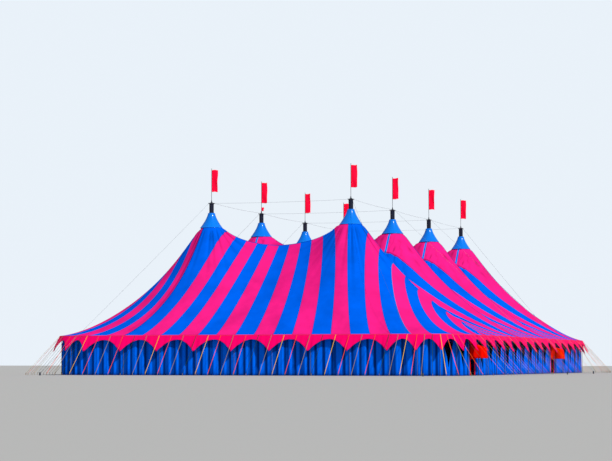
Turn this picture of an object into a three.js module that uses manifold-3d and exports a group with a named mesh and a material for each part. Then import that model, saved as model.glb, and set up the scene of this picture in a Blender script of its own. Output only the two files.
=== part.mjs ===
// A striped circus big top with two rows of four king poles, as a 1:10 model.
// Millimetres, +Z up. X runs across the tent and Y along it, with the front end at -Y.
// The origin is on the ground under the middle of the tent.
import * as THREE from 'three';
import { mergeVertices } from 'three/addons/utils/BufferGeometryUtils.js';
import Module from 'manifold-3d';

const wasm = await Module();
wasm.setup();

// Plan. One metre of the real tent is 100 mm of this model.
const METRE = 100;
const MAST_ROW = 10 * METRE; // each row of king poles, from the middle line
const BAY = 19.2 * METRE; // from one pair of king poles to the next
const MAST_PAIRS = 4;
const LAST_PAIR = BAY * (MAST_PAIRS - 1) / 2; // Y of the back pair; the front pair is at minus this
const SIDE_EAVE = 28.2 * METRE; // X of the side eaves
const END_EAVE = 13.2 * METRE; // from an end pair of king poles out to the end eave
const CORNER_POWER = 6.5; // how square the rounded corners of the eave are
const GAP = 0.3; // left between pieces that touch

// Roof heights
const EAVE_Z = 5.2 * METRE;
const CAP_RIM_Z = 20.2 * METRE; // where the cloth meets a mast cap
const CAP_RIM_R = 1.4 * METRE;
const RIDGE_MID_Z = 17.3 * METRE; // middle of the line between the two masts of a pair
const RIDGE_RISE = 0.7 * METRE; // that line's rise towards the masts, without the cones
const BAY_MID_Z = 12.2 * METRE; // lowest point of the cloth between four masts
const BAY_RISE = 0.8 * METRE;
const SADDLE_POWER = 2.4; // how sharply the cloth drops from a pair into the bay
const SLOPE_POWER = 1.15; // hollow of the slope from the masts to the eave
const CONE_FADE = 2.7 * METRE; // how far the cone around a mast reaches
const CLOTH = 4; // the membrane, thicker than the real sheet

// Stripes, counted around the eave from the middle of the front. Stripe 0 is centred there.
const STRIPES_FAN = 6.5; // half of the front fan, up to the corner masts
const STRIPES_END = 15; // from the middle of an end to the level of its masts
const STRIPES_BAY = 8;
const FAN_EAVE = 16.8 * METRE; // half width of the fan at the eave
const STRIPES_SIDE = STRIPES_BAY * (MAST_PAIRS - 1);
const STRIPES_ROUND = 2 * (2 * STRIPES_END + STRIPES_SIDE);
const RIDGE_STRIPE = 1.48 * METRE; // a stripe's width on the line between the masts
const PETAL_START = 4.5; // stripe edge where the wide pieces beside a mast begin
const PETAL_EDGES = [8.9 * METRE, 11.9 * METRE]; // the next two edges, on either side of the mast
const HIP_STRIPE = 1.6 * METRE; // first stripe on the hip beyond the mast
const MAST_STRIPE_HALF = 2.7 * METRE; // half width of the stripe over a mast, on the mast row

// Valance, walls and doors. What one half of the tent has, the other half repeats, turned by 180 degrees.
const FRONT_TIP = -8.56; // stripe count of the first point of the valance on the front
const FRONT_TIPS = 9; // two stripes apart
const LEFT_CORNER_TIPS = [-14.4, -13.4, -12.4, -11.4, -10.5, -9.6];
const RIGHT_CORNER_TIPS = [8.8, 9.9, 10.8, 12];
const SIDE_TIP = 13.8;
const SIDE_ARCHES = 13;
const ARCH_STEPS = 4;
const EDGE_JOINTS = [-10.5, 10.8]; // the points where the pieces along the edge meet
const VALANCE_CROWN_Z = 4.6 * METRE;
const VALANCE_TIP_Z = 3.05 * METRE;
const VALANCE_FLARE = 0.54; // how far the valance stands out for each unit that it drops
const VALANCE = 3;
const VALANCE_IN = 1; // from the edge of the roof cloth
const VALANCE_TOP_Z = EAVE_Z - CLOTH - GAP; // the flare starts here, under the edge of the roof cloth
const WALL_INSET = 0.2 * METRE;
const WALL = 3;
const WALL_BOTTOM = 2;
const WALL_CORNER = 10.75; // stripe count at the corner of the wall
const CORNER_DOOR = 12.8; // stripe count at the middle of the door near a corner
const SIDE_DOOR = 32.8;
const DOOR_HALF = 1.3 * METRE;
const DOOR_Z = 2.3 * METRE;
const DRAPE_SHARE = 0.16; // share of the door's width that each tied drape covers
const CANOPY_OUT = 1.45 * METRE; // from the wall
const CANOPY_FLARE = 0.12 * METRE; // its skirt widens by this towards the bottom
const CANOPY_WALL_Z = 4 * METRE;
const CANOPY_EDGE_Z = 3.6 * METRE;
const CANOPY_LOW_Z = 2.2 * METRE;
const CANOPY = 3;
const CANOPY_POST_HALF = 2.5;
const CANOPY_POST_IN = 4;

// Masts, caps, flags and cables
const ROUND_SIDES = 8; // faces around a mast or a cap
const MAST_R = 0.2 * METRE;
const MAST_FOOT_R = 0.6 * METRE;
const MAST_FOOT = 6;
const HEAD_R = 0.32 * METRE;
const HEAD_FOOT_Z = 22 * METRE;
const HEAD_TOP_Z = 23.25 * METRE;
const SOCKET_R = 7; // socket of the flag pole on the head
const SOCKET_Z = 23.7 * METRE;
const FLAG_POLE_R = 3;
const FLAG_POLE_Z = 28.1 * METRE;
const CAP_TOP_R = 0.48 * METRE;
const CAP_SKIRT_Z = 19.3 * METRE;
const CAP_SKIRT_R = 1.55 * METRE;
const CAP_WALL = 6;
const FLAG_WIDTH = 0.9 * METRE;
const FLAG_BOTTOM_Z = 24.9 * METRE;
const FLAG_TOP_Z = 27.9 * METRE;
const FLAG = 2;
const CABLE_R = 1.6;
const PLATE_HALF = HEAD_R + 6; // square plate on the head that the stays hook into
const PLATE = 14;
const COLLAR_HALF = 13;
const HOOK_IN = 3; // a cable starts this far inside the rim of its plate or collar
const COLLAR = 8;
const STAY_OUT_SIDE = 6.8 * METRE; // anchors of the side stays, beyond the eave
const STAY_OUT_END = 6.8 * METRE; // anchors of the corner stays, beyond the end eave
const STAY_CORNER_X = 25.5 * METRE;
const ANCHOR_HALF = 8;
const ANCHOR_Z = 40;

// Edge of the roof: side poles, webbing, guy straps and stakes
const POLE_IN = 10;
const POLE_HALF = 4;
const RAIL_Z = 4.95 * METRE;
const RAIL_HALF = 2.5;
const WEBBING = 3;
const WEBBING_LOW = EAVE_Z - 12;
const GUY_OUT = 4.5 * METRE;
const GUY_R = 1.8;
const GUY_TOP_Z = EAVE_Z - 6;
const STAKE_HALF = 3;
const STAKE_Z = 30;
const STAKE_HOOK_Z = 22;
const NODE_SHIFT = 0.45; // in stripes: the poles stand at the valance's points, the pieces end between them

const RED = '#e8103c';
const finishes = {
  roof: { color: '#ff2f92', roughness: 0.45, metalness: 0 },
  valance: { color: '#f01070', roughness: 0.5, metalness: 0 },
  wall: { color: '#0a3fd0', roughness: 0.7, metalness: 0 },
  drape: { color: '#e01818', roughness: 0.7, metalness: 0 },
  flag: { color: RED, roughness: 0.7, metalness: 0 },
  cap: { color: '#0a6cf0', roughness: 0.2, metalness: 0 },
  mast: { color: '#1b2233', roughness: 0.5, metalness: 0.3 },
  cable: { color: '#5a5f66', roughness: 0.4, metalness: 0.8 },
  pole: { color: '#8d9299', roughness: 0.45, metalness: 0.7 },
  guy: { color: '#e0621c', roughness: 0.8, metalness: 0 },
};

const tent = new THREE.Group();

function addPiece(name, geometry, finish) {
  const mesh = new THREE.Mesh(geometry, new THREE.MeshStandardMaterial(finishes[finish]));
  mesh.name = name;
  tent.add(mesh);
  return mesh;
}

// Solids: a geometry becomes a manifold solid for joins and cuts, and comes back as a geometry.
function toSolid(geometry) {
  const bare = geometry.clone();
  for (const name of Object.keys(bare.attributes)) if (name !== 'position') bare.deleteAttribute(name);
  const welded = mergeVertices(bare, 1e-3);
  const index = welded.index.array;
  const triVerts = [];
  for (let i = 0; i < index.length; i += 3) {
    const [a, b, c] = [index[i], index[i + 1], index[i + 2]];
    if (a !== b && b !== c && c !== a) triVerts.push(a, b, c);
  }
  const vertProperties = new Float32Array(welded.attributes.position.array);
  return new wasm.Manifold(new wasm.Mesh({ numProp: 3, vertProperties, triVerts: new Uint32Array(triVerts) }));
}

function toGeometry(solid) {
  const mesh = solid.getMesh();
  const geometry = new THREE.BufferGeometry();
  geometry.setAttribute('position', new THREE.BufferAttribute(new Float32Array(mesh.vertProperties), 3));
  geometry.setIndex(new THREE.BufferAttribute(new Uint32Array(mesh.triVerts), 1));
  geometry.computeVertexNormals();
  return geometry;
}

function joined(geometries) {
  return geometries.map(toSolid).reduce((whole, solid) => whole.add(solid));
}

// A slab between two grids of points, rows[i][j], closed around its edge.
function slab(upper, lower) {
  const rows = upper.length;
  const columns = upper[0].length;
  const positions = [...upper.flat(), ...lower.flat()].flat();
  const top = (i, j) => i * columns + j;
  const bottom = (i, j) => (rows + i) * columns + j;
  const index = [];
  const quad = (a, b, c, d) => index.push(a, b, c, a, c, d);
  for (let i = 0; i + 1 < rows; i++) {
    for (let j = 0; j + 1 < columns; j++) {
      quad(top(i, j), top(i, j + 1), top(i + 1, j + 1), top(i + 1, j));
      quad(bottom(i, j), bottom(i + 1, j), bottom(i + 1, j + 1), bottom(i, j + 1));
    }
    quad(top(i, 0), top(i + 1, 0), bottom(i + 1, 0), bottom(i, 0));
    quad(top(i + 1, columns - 1), top(i, columns - 1), bottom(i, columns - 1), bottom(i + 1, columns - 1));
  }
  for (let j = 0; j + 1 < columns; j++) {
    quad(top(0, j + 1), top(0, j), bottom(0, j), bottom(0, j + 1));
    quad(top(rows - 1, j), top(rows - 1, j + 1), bottom(rows - 1, j + 1), bottom(rows - 1, j));
  }
  const geometry = new THREE.BufferGeometry();
  geometry.setAttribute('position', new THREE.BufferAttribute(new Float32Array(positions), 3));
  geometry.setIndex(index);
  return geometry;
}

// A straight bar between two points
function bar(from, to, radius, sides) {
  const a = new THREE.Vector3(...from);
  const b = new THREE.Vector3(...to);
  const length = a.distanceTo(b);
  const geometry = new THREE.CylinderGeometry(radius, radius, length, sides);
  const turn = new THREE.Quaternion().setFromUnitVectors(
    new THREE.Vector3(0, 1, 0),
    b.clone().sub(a).normalize(),
  );
  const middle = a.clone().add(b).multiplyScalar(0.5);
  return geometry.applyQuaternion(turn).translate(middle.x, middle.y, middle.z);
}

// An upright block on a point of the plan
function block(x, y, low, high, half) {
  return new THREE.BoxGeometry(2 * half, 2 * half, high - low).translate(x, y, (low + high) / 2);
}

// A turned piece about an upright axis, from a profile of [radius, height] points
function turned(profile, sides) {
  const points = profile.map(([r, z]) => new THREE.Vector2(r, z));
  return new THREE.LatheGeometry(points, sides).rotateX(Math.PI / 2);
}

// Height of the roof cloth over a point of the plan. The slopes fall from the masts to the eave,
// the bays sag between the pairs, and a cone rises to the cap of the nearest mast.
function roofZ(x, y) {
  const across = Math.abs(x);
  const beyond = Math.max(Math.abs(y) - LAST_PAIR, 0);
  const fromPair = beyond > 0 ? 0 : Math.abs(((Math.abs(y) / BAY) % 1) - 0.5) * BAY;
  const hang = (1 - fromPair / (BAY / 2)) ** SADDLE_POWER;
  const inward = Math.min(across / MAST_ROW, 1) ** 2;
  const ridge = RIDGE_MID_Z + RIDGE_RISE * inward;
  const bay = BAY_MID_Z + BAY_RISE * inward;
  const crest = bay + (ridge - bay) * hang;
  const side = Math.max(across - MAST_ROW, 0) / (SIDE_EAVE - MAST_ROW);
  const end = beyond / END_EAVE;
  const square = (side ** CORNER_POWER + end ** CORNER_POWER) ** (1 / CORNER_POWER);
  const round = Math.hypot(side, end);
  const out = Math.min(square ** 3 + round * (1 - square ** 2), 1);
  const slope = EAVE_Z + (crest - EAVE_Z) * (1 - out) ** SLOPE_POWER;
  const fromMast = Math.hypot(across - MAST_ROW, beyond > 0 ? beyond : fromPair);
  const cone = Math.exp(-Math.max(fromMast - CAP_RIM_R, 0) / CONE_FADE) * (1 - out ** 4);
  return slope + (CAP_RIM_Z - slope) * cone;
}

// The eave of a front corner, from the middle of the front round to the level of the masts,
// as points spaced along it: a straight part and a rounded corner.
function cornerEave(share) {
  const steps = 200;
  const points = [[0, END_EAVE]];
  for (let i = 0; i <= steps; i++) {
    const angle = (i / steps) * Math.PI / 2;
    const [s, c] = [Math.sin(angle), Math.cos(angle)];
    const reach = (s ** CORNER_POWER + Math.max(c, 0) ** CORNER_POWER) ** (-1 / CORNER_POWER);
    points.push([MAST_ROW + (SIDE_EAVE - MAST_ROW) * reach * s, END_EAVE * reach * Math.max(c, 0)]);
  }
  const lengths = [0];
  for (let i = 1; i < points.length; i++) {
    const [a, b] = [points[i - 1], points[i]];
    lengths.push(lengths[i - 1] + Math.hypot(b[0] - a[0], b[1] - a[1]));
  }
  const whole = lengths[lengths.length - 1];
  const target = share <= STRIPES_FAN
    ? (FAN_EAVE * share) / STRIPES_FAN
    : FAN_EAVE + ((whole - FAN_EAVE) * (share - STRIPES_FAN)) / (STRIPES_END - STRIPES_FAN);
  let i = 1;
  while (i < points.length - 1 && lengths[i] < target) i++;
  const t = (target - lengths[i - 1]) / (lengths[i] - lengths[i - 1]);
  return [0, 1].map((axis) => points[i - 1][axis] + (points[i][axis] - points[i - 1][axis]) * t);
}

// A point of the eave by its stripe count, anywhere around the tent
function eavePoint(count) {
  const half = STRIPES_ROUND / 2;
  const turns = ((count + half) % STRIPES_ROUND + STRIPES_ROUND) % STRIPES_ROUND - half;
  const sign = turns < 0 ? -1 : 1;
  const k = Math.abs(turns);
  const back = k > half - STRIPES_END;
  if (k >= STRIPES_END && !back) {
    return [sign * SIDE_EAVE, -LAST_PAIR + ((k - STRIPES_END) / STRIPES_BAY) * BAY];
  }
  const [x, out] = cornerEave(back ? half - k : k);
  return [sign * x, (back ? 1 : -1) * (LAST_PAIR + out)];
}

// Lines from the masts to the eave of an end, closer together at the masts and the corners
const endLines = [1.5, 3.5, 4.5, 5.5, 6, 6.5, 7.5, 9, 10.2, 10.8, 11.6, 13.5, STRIPES_END];
const fullEndLines = [...endLines.map((k) => -k).reverse(), 0, ...endLines];
const eaveNodes = [...fullEndLines, ...fullEndLines.map((k) => k + STRIPES_ROUND / 2)];

// A point beside the eave's outline, moved outwards by an offset, with mitred corners
function besideNode(number, offset) {
  const total = eaveNodes.length;
  const point = (i) => eavePoint(eaveNodes[((i % total) + total) % total]);
  const [before, here, after] = [point(number - 1), point(number), point(number + 1)];
  const normal = (a, b) => new THREE.Vector2(b[1] - a[1], a[0] - b[0]).normalize();
  const [n1, n2] = [normal(before, here), normal(here, after)];
  const mitre = n1.clone().add(n2).normalize();
  const reach = offset / mitre.dot(n1);
  return [here[0] + mitre.x * reach, here[1] + mitre.y * reach];
}

function beside(count, offset) {
  const first = eaveNodes[0];
  const k = ((count - first) % STRIPES_ROUND + STRIPES_ROUND) % STRIPES_ROUND + first;
  let i = 0;
  while (i + 1 < eaveNodes.length && eaveNodes[i + 1] <= k) i++;
  const next = i + 1 < eaveNodes.length ? eaveNodes[i + 1] : first + STRIPES_ROUND;
  const t = (k - eaveNodes[i]) / (next - eaveNodes[i]);
  const [a, b] = [besideNode(i, offset), besideNode(i + 1, offset)];
  return [a[0] + (b[0] - a[0]) * t, a[1] + (b[1] - a[1]) * t];
}

// Of some counts around the tent, those from one count to another
function within(counts, from, to) {
  return [-STRIPES_ROUND, 0, STRIPES_ROUND]
    .flatMap((turn) => counts.map((k) => k + turn))
    .filter((k) => k > from && k < to);
}

// Stripe counts from one to another with every node of the outline between them
function countsBetween(from, to, more = []) {
  const counts = [from, ...within([...eaveNodes, ...more], from, to), to].sort((a, b) => a - b);
  return counts.filter((k, i) => i === 0 || k - counts[i - 1] > 1e-6);
}

// Roof sections. Each is laced to the next on the line of a pair of masts.
// Where a stripe edge crosses the line of the end pair, from the middle line outwards
function hipX(k) {
  if (k <= PETAL_START) return RIDGE_STRIPE * k;
  if (k <= STRIPES_FAN - 1) {
    return RIDGE_STRIPE * PETAL_START + (PETAL_EDGES[0] - RIDGE_STRIPE * PETAL_START) * (k - PETAL_START);
  }
  if (k <= STRIPES_FAN) return PETAL_EDGES[0] + (PETAL_EDGES[1] - PETAL_EDGES[0]) * (k - STRIPES_FAN + 1);
  const n = k - STRIPES_FAN;
  const whole = STRIPES_END - STRIPES_FAN;
  const spread = (SIDE_EAVE - PETAL_EDGES[1] - HIP_STRIPE * whole) / whole ** 2;
  return PETAL_EDGES[1] + HIP_STRIPE * n + spread * n ** 2;
}

const endSteps = [0, 0.06, 0.14, 0.26, 0.45, 0.7, 1];
function endGrid(side, shift, inset) {
  return fullEndLines.map((k) => endSteps.map((t) => {
    const [eaveX, eaveY] = eavePoint(k);
    const x = THREE.MathUtils.lerp(Math.sign(k) * hipX(Math.abs(k)), eaveX, t);
    const y = THREE.MathUtils.lerp(-LAST_PAIR - inset, Math.min(eaveY, -LAST_PAIR - inset), t);
    return [side * x, side * y, roofZ(x, y) + shift];
  }));
}

const slopeSteps = [0, 0.05, 0.12, 0.25, 0.45, 0.7, 1];
const middleXs = [-1, -0.86, -0.7, -0.35, 0.35, 0.7, 0.86, 1].map((t) => t * MAST_ROW);
const bayCounts = [0, 0.25, 0.5, 2, 4, 6, 7.5, 7.75, 8];
function rowY(count) {
  if (count > STRIPES_BAY / 2) return BAY - rowY(STRIPES_BAY - count);
  if (count <= 0.5) return (MAST_STRIPE_HALF * count) / 0.5;
  return MAST_STRIPE_HALF + ((BAY - 2 * MAST_STRIPE_HALF) * (count - 0.5)) / (STRIPES_BAY - 1);
}

function bayGrid(number, shift, inset) {
  const start = -LAST_PAIR + number * BAY;
  return bayCounts.map((count) => {
    const clamp = (y) => THREE.MathUtils.clamp(y, inset, BAY - inset);
    const eaveY = (count / STRIPES_BAY) * BAY;
    const row = [];
    const put = (x, y) => row.push([x, start + clamp(y), roofZ(x, start + clamp(y)) + shift]);
    const slope = (sign, t) => {
      const x = sign * (MAST_ROW + (SIDE_EAVE - MAST_ROW) * t);
      put(x, THREE.MathUtils.lerp(rowY(count), eaveY, t));
    };
    for (const t of [...slopeSteps].reverse()) slope(-1, t);
    for (const x of middleXs.slice(1, -1)) put(x, rowY(count));
    for (const t of slopeSteps) slope(1, t);
    return row;
  });
}

const capClearance = toSolid(turned([
  [0, CAP_SKIRT_Z - 60],
  [CAP_SKIRT_R + GAP, CAP_SKIRT_Z - 60],
  [CAP_SKIRT_R + GAP, CAP_SKIRT_Z],
  [CAP_RIM_R + GAP, CAP_RIM_Z],
  [CAP_TOP_R + GAP, HEAD_FOOT_Z],
  [0, HEAD_FOOT_Z],
], ROUND_SIDES));

const mastSpots = [];
for (let pair = 0; pair < MAST_PAIRS; pair++) {
  for (const side of [-1, 1]) {
    mastSpots.push({ pair, side, x: side * MAST_ROW, y: -LAST_PAIR + pair * BAY });
  }
}

const sections = [
  { name: 'roof_front_end', grid: (shift, inset) => endGrid(1, shift, inset) },
  { name: 'roof_bay_1', grid: (shift, inset) => bayGrid(0, shift, inset) },
  { name: 'roof_bay_2', grid: (shift, inset) => bayGrid(1, shift, inset) },
  { name: 'roof_bay_3', grid: (shift, inset) => bayGrid(2, shift, inset) },
  { name: 'roof_back_end', grid: (shift, inset) => endGrid(-1, shift, inset) },
];
for (const { name, grid } of sections) {
  const sheet = toSolid(slab(grid(0, GAP / 2), grid(-CLOTH, GAP / 2)));
  const cut = mastSpots.reduce((solid, { x, y }) => solid.subtract(capClearance.translate([x, y, 0])), sheet);
  addPiece(name, toGeometry(cut), 'roof');
}

// Everything above the underside of the cloth, to trim what reaches up to it
const aboveCloth = sections
  .map(({ grid }) => toSolid(slab(grid(1.5 * METRE, 0), grid(-CLOTH - GAP, 0))))
  .reduce((whole, solid) => whole.add(solid));

// A hanging sheet along the eave's outline, trimmed to the underside of the roof cloth
function hanging(counts, offset, thickness, bottomZ, flare = 0) {
  const levels = [bottomZ, ...(flare ? [() => VALANCE_TOP_Z] : []), () => EAVE_Z + METRE];
  const rows = (out) => levels.map((z) => counts.map(
    (k) => [...beside(k, out + flare * Math.max(VALANCE_TOP_Z - z(k), 0)), z(k)],
  ));
  return toSolid(slab(rows(offset), rows(offset - thickness))).subtract(aboveCloth);
}

const halfRound = STRIPES_ROUND / 2;
const sideArch = (halfRound + LEFT_CORNER_TIPS[0] - SIDE_TIP) / SIDE_ARCHES;
const halfTips = [
  ...LEFT_CORNER_TIPS,
  ...Array.from({ length: FRONT_TIPS }, (_, i) => FRONT_TIP + 2 * i),
  ...RIGHT_CORNER_TIPS,
  ...Array.from({ length: SIDE_ARCHES }, (_, i) => SIDE_TIP + sideArch * i),
];
const tips = [...halfTips, ...halfTips.map((k) => k + halfRound)];
const edges = [
  { name: 'front', from: EDGE_JOINTS[0], to: EDGE_JOINTS[1] },
  { name: 'right', from: EDGE_JOINTS[1], to: EDGE_JOINTS[0] + halfRound },
  { name: 'back', from: EDGE_JOINTS[0] + halfRound, to: EDGE_JOINTS[1] + halfRound },
  { name: 'left', from: EDGE_JOINTS[1] + halfRound, to: EDGE_JOINTS[0] + STRIPES_ROUND },
];

// The arch of the valance that a stripe count falls in, as the counts of its two points
function archAt(k) {
  const turned = ((k - tips[0]) % STRIPES_ROUND + STRIPES_ROUND) % STRIPES_ROUND + tips[0];
  const next = tips.findIndex((tip) => tip > turned);
  const start = tips[(next < 0 ? tips.length : next) - 1];
  const end = next < 0 ? tips[0] + STRIPES_ROUND : tips[next];
  return { start, end, phase: (turned - start) / (end - start) };
}

function scallopZ(k) {
  const across = 2 * archAt(k).phase - 1;
  return VALANCE_TIP_Z + (VALANCE_CROWN_Z - VALANCE_TIP_Z) * (1 - across ** 2);
}

const archSteps = tips.flatMap((start, i) => {
  const end = i + 1 < tips.length ? tips[i + 1] : tips[0] + STRIPES_ROUND;
  return Array.from({ length: ARCH_STEPS }, (_, step) => start + ((end - start) * step) / ARCH_STEPS);
});
for (const { name, from, to } of edges) {
  const counts = countsBetween(from + 0.002, to - 0.002, archSteps);
  const sheet = hanging(counts, -VALANCE_IN, VALANCE, scallopZ, VALANCE_FLARE);
  addPiece(`valance_${name}`, toGeometry(sheet), 'valance');
}

// Place of a door: a point on the outer face of the wall, with the directions out of the wall and along it
function doorPlace(at) {
  const [a, b] = [beside(at - 0.25, -WALL_INSET), beside(at + 0.25, -WALL_INSET)];
  const along = new THREE.Vector2(b[0] - a[0], b[1] - a[1]);
  const stripe = 2 * along.length();
  along.normalize();
  const middle = new THREE.Vector2(...beside(at, -WALL_INSET));
  return { middle, along, out: new THREE.Vector2(along.y, -along.x), half: DOOR_HALF / stripe };
}

// Wall curtains between the corners and the doors
const doors = [
  { name: 'right_front', at: CORNER_DOOR },
  { name: 'right_back', at: SIDE_DOOR },
  { name: 'left_back', at: CORNER_DOOR + halfRound },
  { name: 'left_front', at: SIDE_DOOR + halfRound },
].map((door) => ({ ...door, ...doorPlace(door.at) }));
const [cornerHalf, sideHalf] = [doors[0].half, doors[1].half];
const wallsOfHalf = [
  [-WALL_CORNER, WALL_CORNER],
  [WALL_CORNER, CORNER_DOOR - cornerHalf],
  [CORNER_DOOR + cornerHalf, SIDE_DOOR - sideHalf],
  [SIDE_DOOR + sideHalf, halfRound - WALL_CORNER],
];
const wallNames = [
  ['wall_front', 'wall_right_corner', 'wall_right_middle', 'wall_right_rear'],
  ['wall_back', 'wall_left_rear', 'wall_left_middle', 'wall_left_corner'],
];
const sliver = 0.001; // in stripes: about 0.3 mm
wallNames.forEach((names, turn) => names.forEach((name, i) => {
  const [from, to] = wallsOfHalf[i].map((k) => k + turn * halfRound);
  const counts = countsBetween(from + sliver, to - sliver);
  addPiece(name, toGeometry(hanging(counts, -WALL_INSET, WALL, () => WALL_BOTTOM)), 'wall');
}));

// The hood of a door canopy in its own frame: X out of the wall, Y along it. It is open below and at the
// wall, where a batten holds it.
function hood() {
  const corners = (inset, back, low) => {
    const row = (x, half, z) => [[x, -half, z], [x, half, z]];
    const [out, half] = [CANOPY_OUT - inset, DOOR_HALF - inset];
    const skirtOut = out + CANOPY_FLARE;
    const skirtHalf = half + CANOPY_FLARE;
    const upper = [row(out, half, CANOPY_EDGE_Z - inset), row(back, half, CANOPY_WALL_Z - inset)];
    const lower = [row(skirtOut, skirtHalf, low), row(back, skirtHalf, low)];
    return toSolid(slab(upper, lower));
  };
  const batten = new THREE.BoxGeometry(CANOPY + WALL / 2, 2 * DOOR_HALF - 20, 5)
    .translate((CANOPY - WALL / 2) / 2, 0, CANOPY_WALL_Z - 4);
  return corners(0, GAP, CANOPY_LOW_Z).subtract(corners(CANOPY, -METRE, CANOPY_LOW_Z - 1)).add(toSolid(batten));
}

// Red door canopies: a hood on two posts, with a pelmet and tied drapes in the doorway
for (const { name, at, half, middle, out } of doors) {
  const [from, to] = [at - half + sliver, at + half - sliver];
  const low = from + 2 * half * DRAPE_SHARE;
  const high = to - 2 * half * DRAPE_SHARE;
  const counts = [from, from + 0.02, low, high, to - 0.02, to];
  const bottomZ = (k) => (k >= low && k <= high ? DOOR_Z : WALL_BOTTOM);
  const posts = [-1, 1].map((side) => toSolid(block(
    CANOPY_OUT - CANOPY_POST_IN,
    side * (DOOR_HALF - CANOPY_POST_IN),
    0,
    CANOPY_EDGE_Z - 1,
    CANOPY_POST_HALF,
  )));
  const turned = posts.reduce((whole, post) => whole.add(post), hood())
    .rotate([0, 0, THREE.MathUtils.radToDeg(Math.atan2(out.y, out.x))])
    .translate([middle.x, middle.y, 0]);
  addPiece(`door_canopy_${name}`, toGeometry(hanging(counts, -WALL_INSET, WALL, bottomZ).add(turned)), 'drape');
}

// Side poles under the edge of the roof, joined by the rail that the curtains' cords tie to
for (const { name, from, to } of edges) {
  const counts = countsBetween(from + NODE_SHIFT, to + NODE_SHIFT - 0.01);
  const ring = (z) => [-POLE_IN + RAIL_HALF, -POLE_IN - RAIL_HALF].map(
    (out) => counts.map((k) => [...beside(k, out), z]),
  );
  let rail = toSolid(slab(ring(RAIL_Z + RAIL_HALF), ring(RAIL_Z - RAIL_HALF)));
  for (const k of within(tips, from + NODE_SHIFT, to + NODE_SHIFT)) {
    const [x, y] = beside(k, -POLE_IN);
    rail = rail.add(toSolid(block(x, y, 0, EAVE_Z + 20, POLE_HALF)));
  }
  addPiece(`side_poles_${name}`, toGeometry(rail.subtract(aboveCloth)), 'pole');
}

// Webbing around the edge with a guy strap and a stake at each point of the valance
for (const { name, from, to } of edges) {
  const counts = countsBetween(from + NODE_SHIFT, to + NODE_SHIFT - 0.01);
  const flared = (z) => VALANCE_FLARE * Math.max(VALANCE_TOP_Z - z, 0);
  const ring = (z) => [GAP + WEBBING, GAP].map((out) => counts.map((k) => [...beside(k, out + flared(z)), z]));
  let rigging = toSolid(slab(ring(EAVE_Z), ring(WEBBING_LOW)));
  const guys = [];
  for (const k of within(tips, from + NODE_SHIFT, to + NODE_SHIFT)) {
    const [x, y] = beside(k, GAP + WEBBING / 2 + GUY_R + flared(GUY_TOP_Z));
    const [stakeX, stakeY] = beside(k, GUY_OUT);
    guys.push(bar([x, y, GUY_TOP_Z], [stakeX, stakeY, STAKE_HOOK_Z], GUY_R, 4));
    guys.push(block(stakeX, stakeY, 0, STAKE_Z, STAKE_HALF));
  }
  for (const guy of guys) rigging = rigging.add(toSolid(guy));
  addPiece(`guy_straps_${name}`, toGeometry(rigging), 'guy');
}

// King poles with their heads and flag poles, caps and flags
const rowNames = { '-1': 'left', 1: 'right' };
for (const { pair, side, x, y } of mastSpots) {
  const label = `${rowNames[side]}_${pair + 1}`;
  const mast = turned([
    [0, 0],
    [MAST_FOOT_R, 0],
    [MAST_FOOT_R, MAST_FOOT],
    [MAST_R, MAST_FOOT],
    [MAST_R, HEAD_FOOT_Z],
    [HEAD_R, HEAD_FOOT_Z],
    [HEAD_R, HEAD_TOP_Z],
    [SOCKET_R, HEAD_TOP_Z],
    [SOCKET_R, SOCKET_Z],
    [FLAG_POLE_R, SOCKET_Z],
    [FLAG_POLE_R, FLAG_POLE_Z],
    [0, FLAG_POLE_Z],
  ], ROUND_SIDES);
  addPiece(`king_pole_${label}`, toGeometry(toSolid(mast)), 'mast').position.set(x, y, 0);
  const capTop = HEAD_FOOT_Z - GAP;
  const bore = MAST_R + GAP;
  const cap = turned([
    [bore, capTop],
    [bore, capTop - CAP_WALL],
    [CAP_TOP_R - CAP_WALL, capTop - CAP_WALL],
    [CAP_RIM_R - CAP_WALL, CAP_RIM_Z - CAP_WALL],
    [CAP_SKIRT_R - CAP_WALL, CAP_SKIRT_Z],
    [CAP_SKIRT_R, CAP_SKIRT_Z],
    [CAP_RIM_R, CAP_RIM_Z],
    [CAP_TOP_R, capTop],
    [bore, capTop],
  ], ROUND_SIDES);
  addPiece(`mast_cap_${label}`, toGeometry(toSolid(cap)), 'cap').position.set(x, y, 0);
  const flag = new THREE.BoxGeometry(FLAG_WIDTH, FLAG, FLAG_TOP_Z - FLAG_BOTTOM_Z);
  const flagX = x + FLAG_POLE_R + GAP + FLAG_WIDTH / 2;
  addPiece(`flag_${label}`, flag, 'flag').position.set(flagX, y, (FLAG_TOP_Z + FLAG_BOTTOM_Z) / 2);
}

// Cables tie the mast heads together and stay them to anchors in the ground
function collar(x, y, low, half, height) {
  const corner = Math.SQRT2;
  const bore = (SOCKET_R + GAP) * corner;
  return turned([
    [bore, low],
    [half * corner, low],
    [half * corner, low + height],
    [bore, low + height],
    [bore, low],
  ], 4).rotateZ(Math.PI / 4).translate(x, y, 0);
}

// A cable from the edge of one square collar towards a point
function cableFrom(spot, target, z, half) {
  const away = new THREE.Vector2(target[0] - spot.x, target[1] - spot.y);
  away.multiplyScalar((half - HOOK_IN) / Math.max(Math.abs(away.x), Math.abs(away.y)));
  return bar([spot.x + away.x, spot.y + away.y, z], target, CABLE_R, 4);
}

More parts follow.
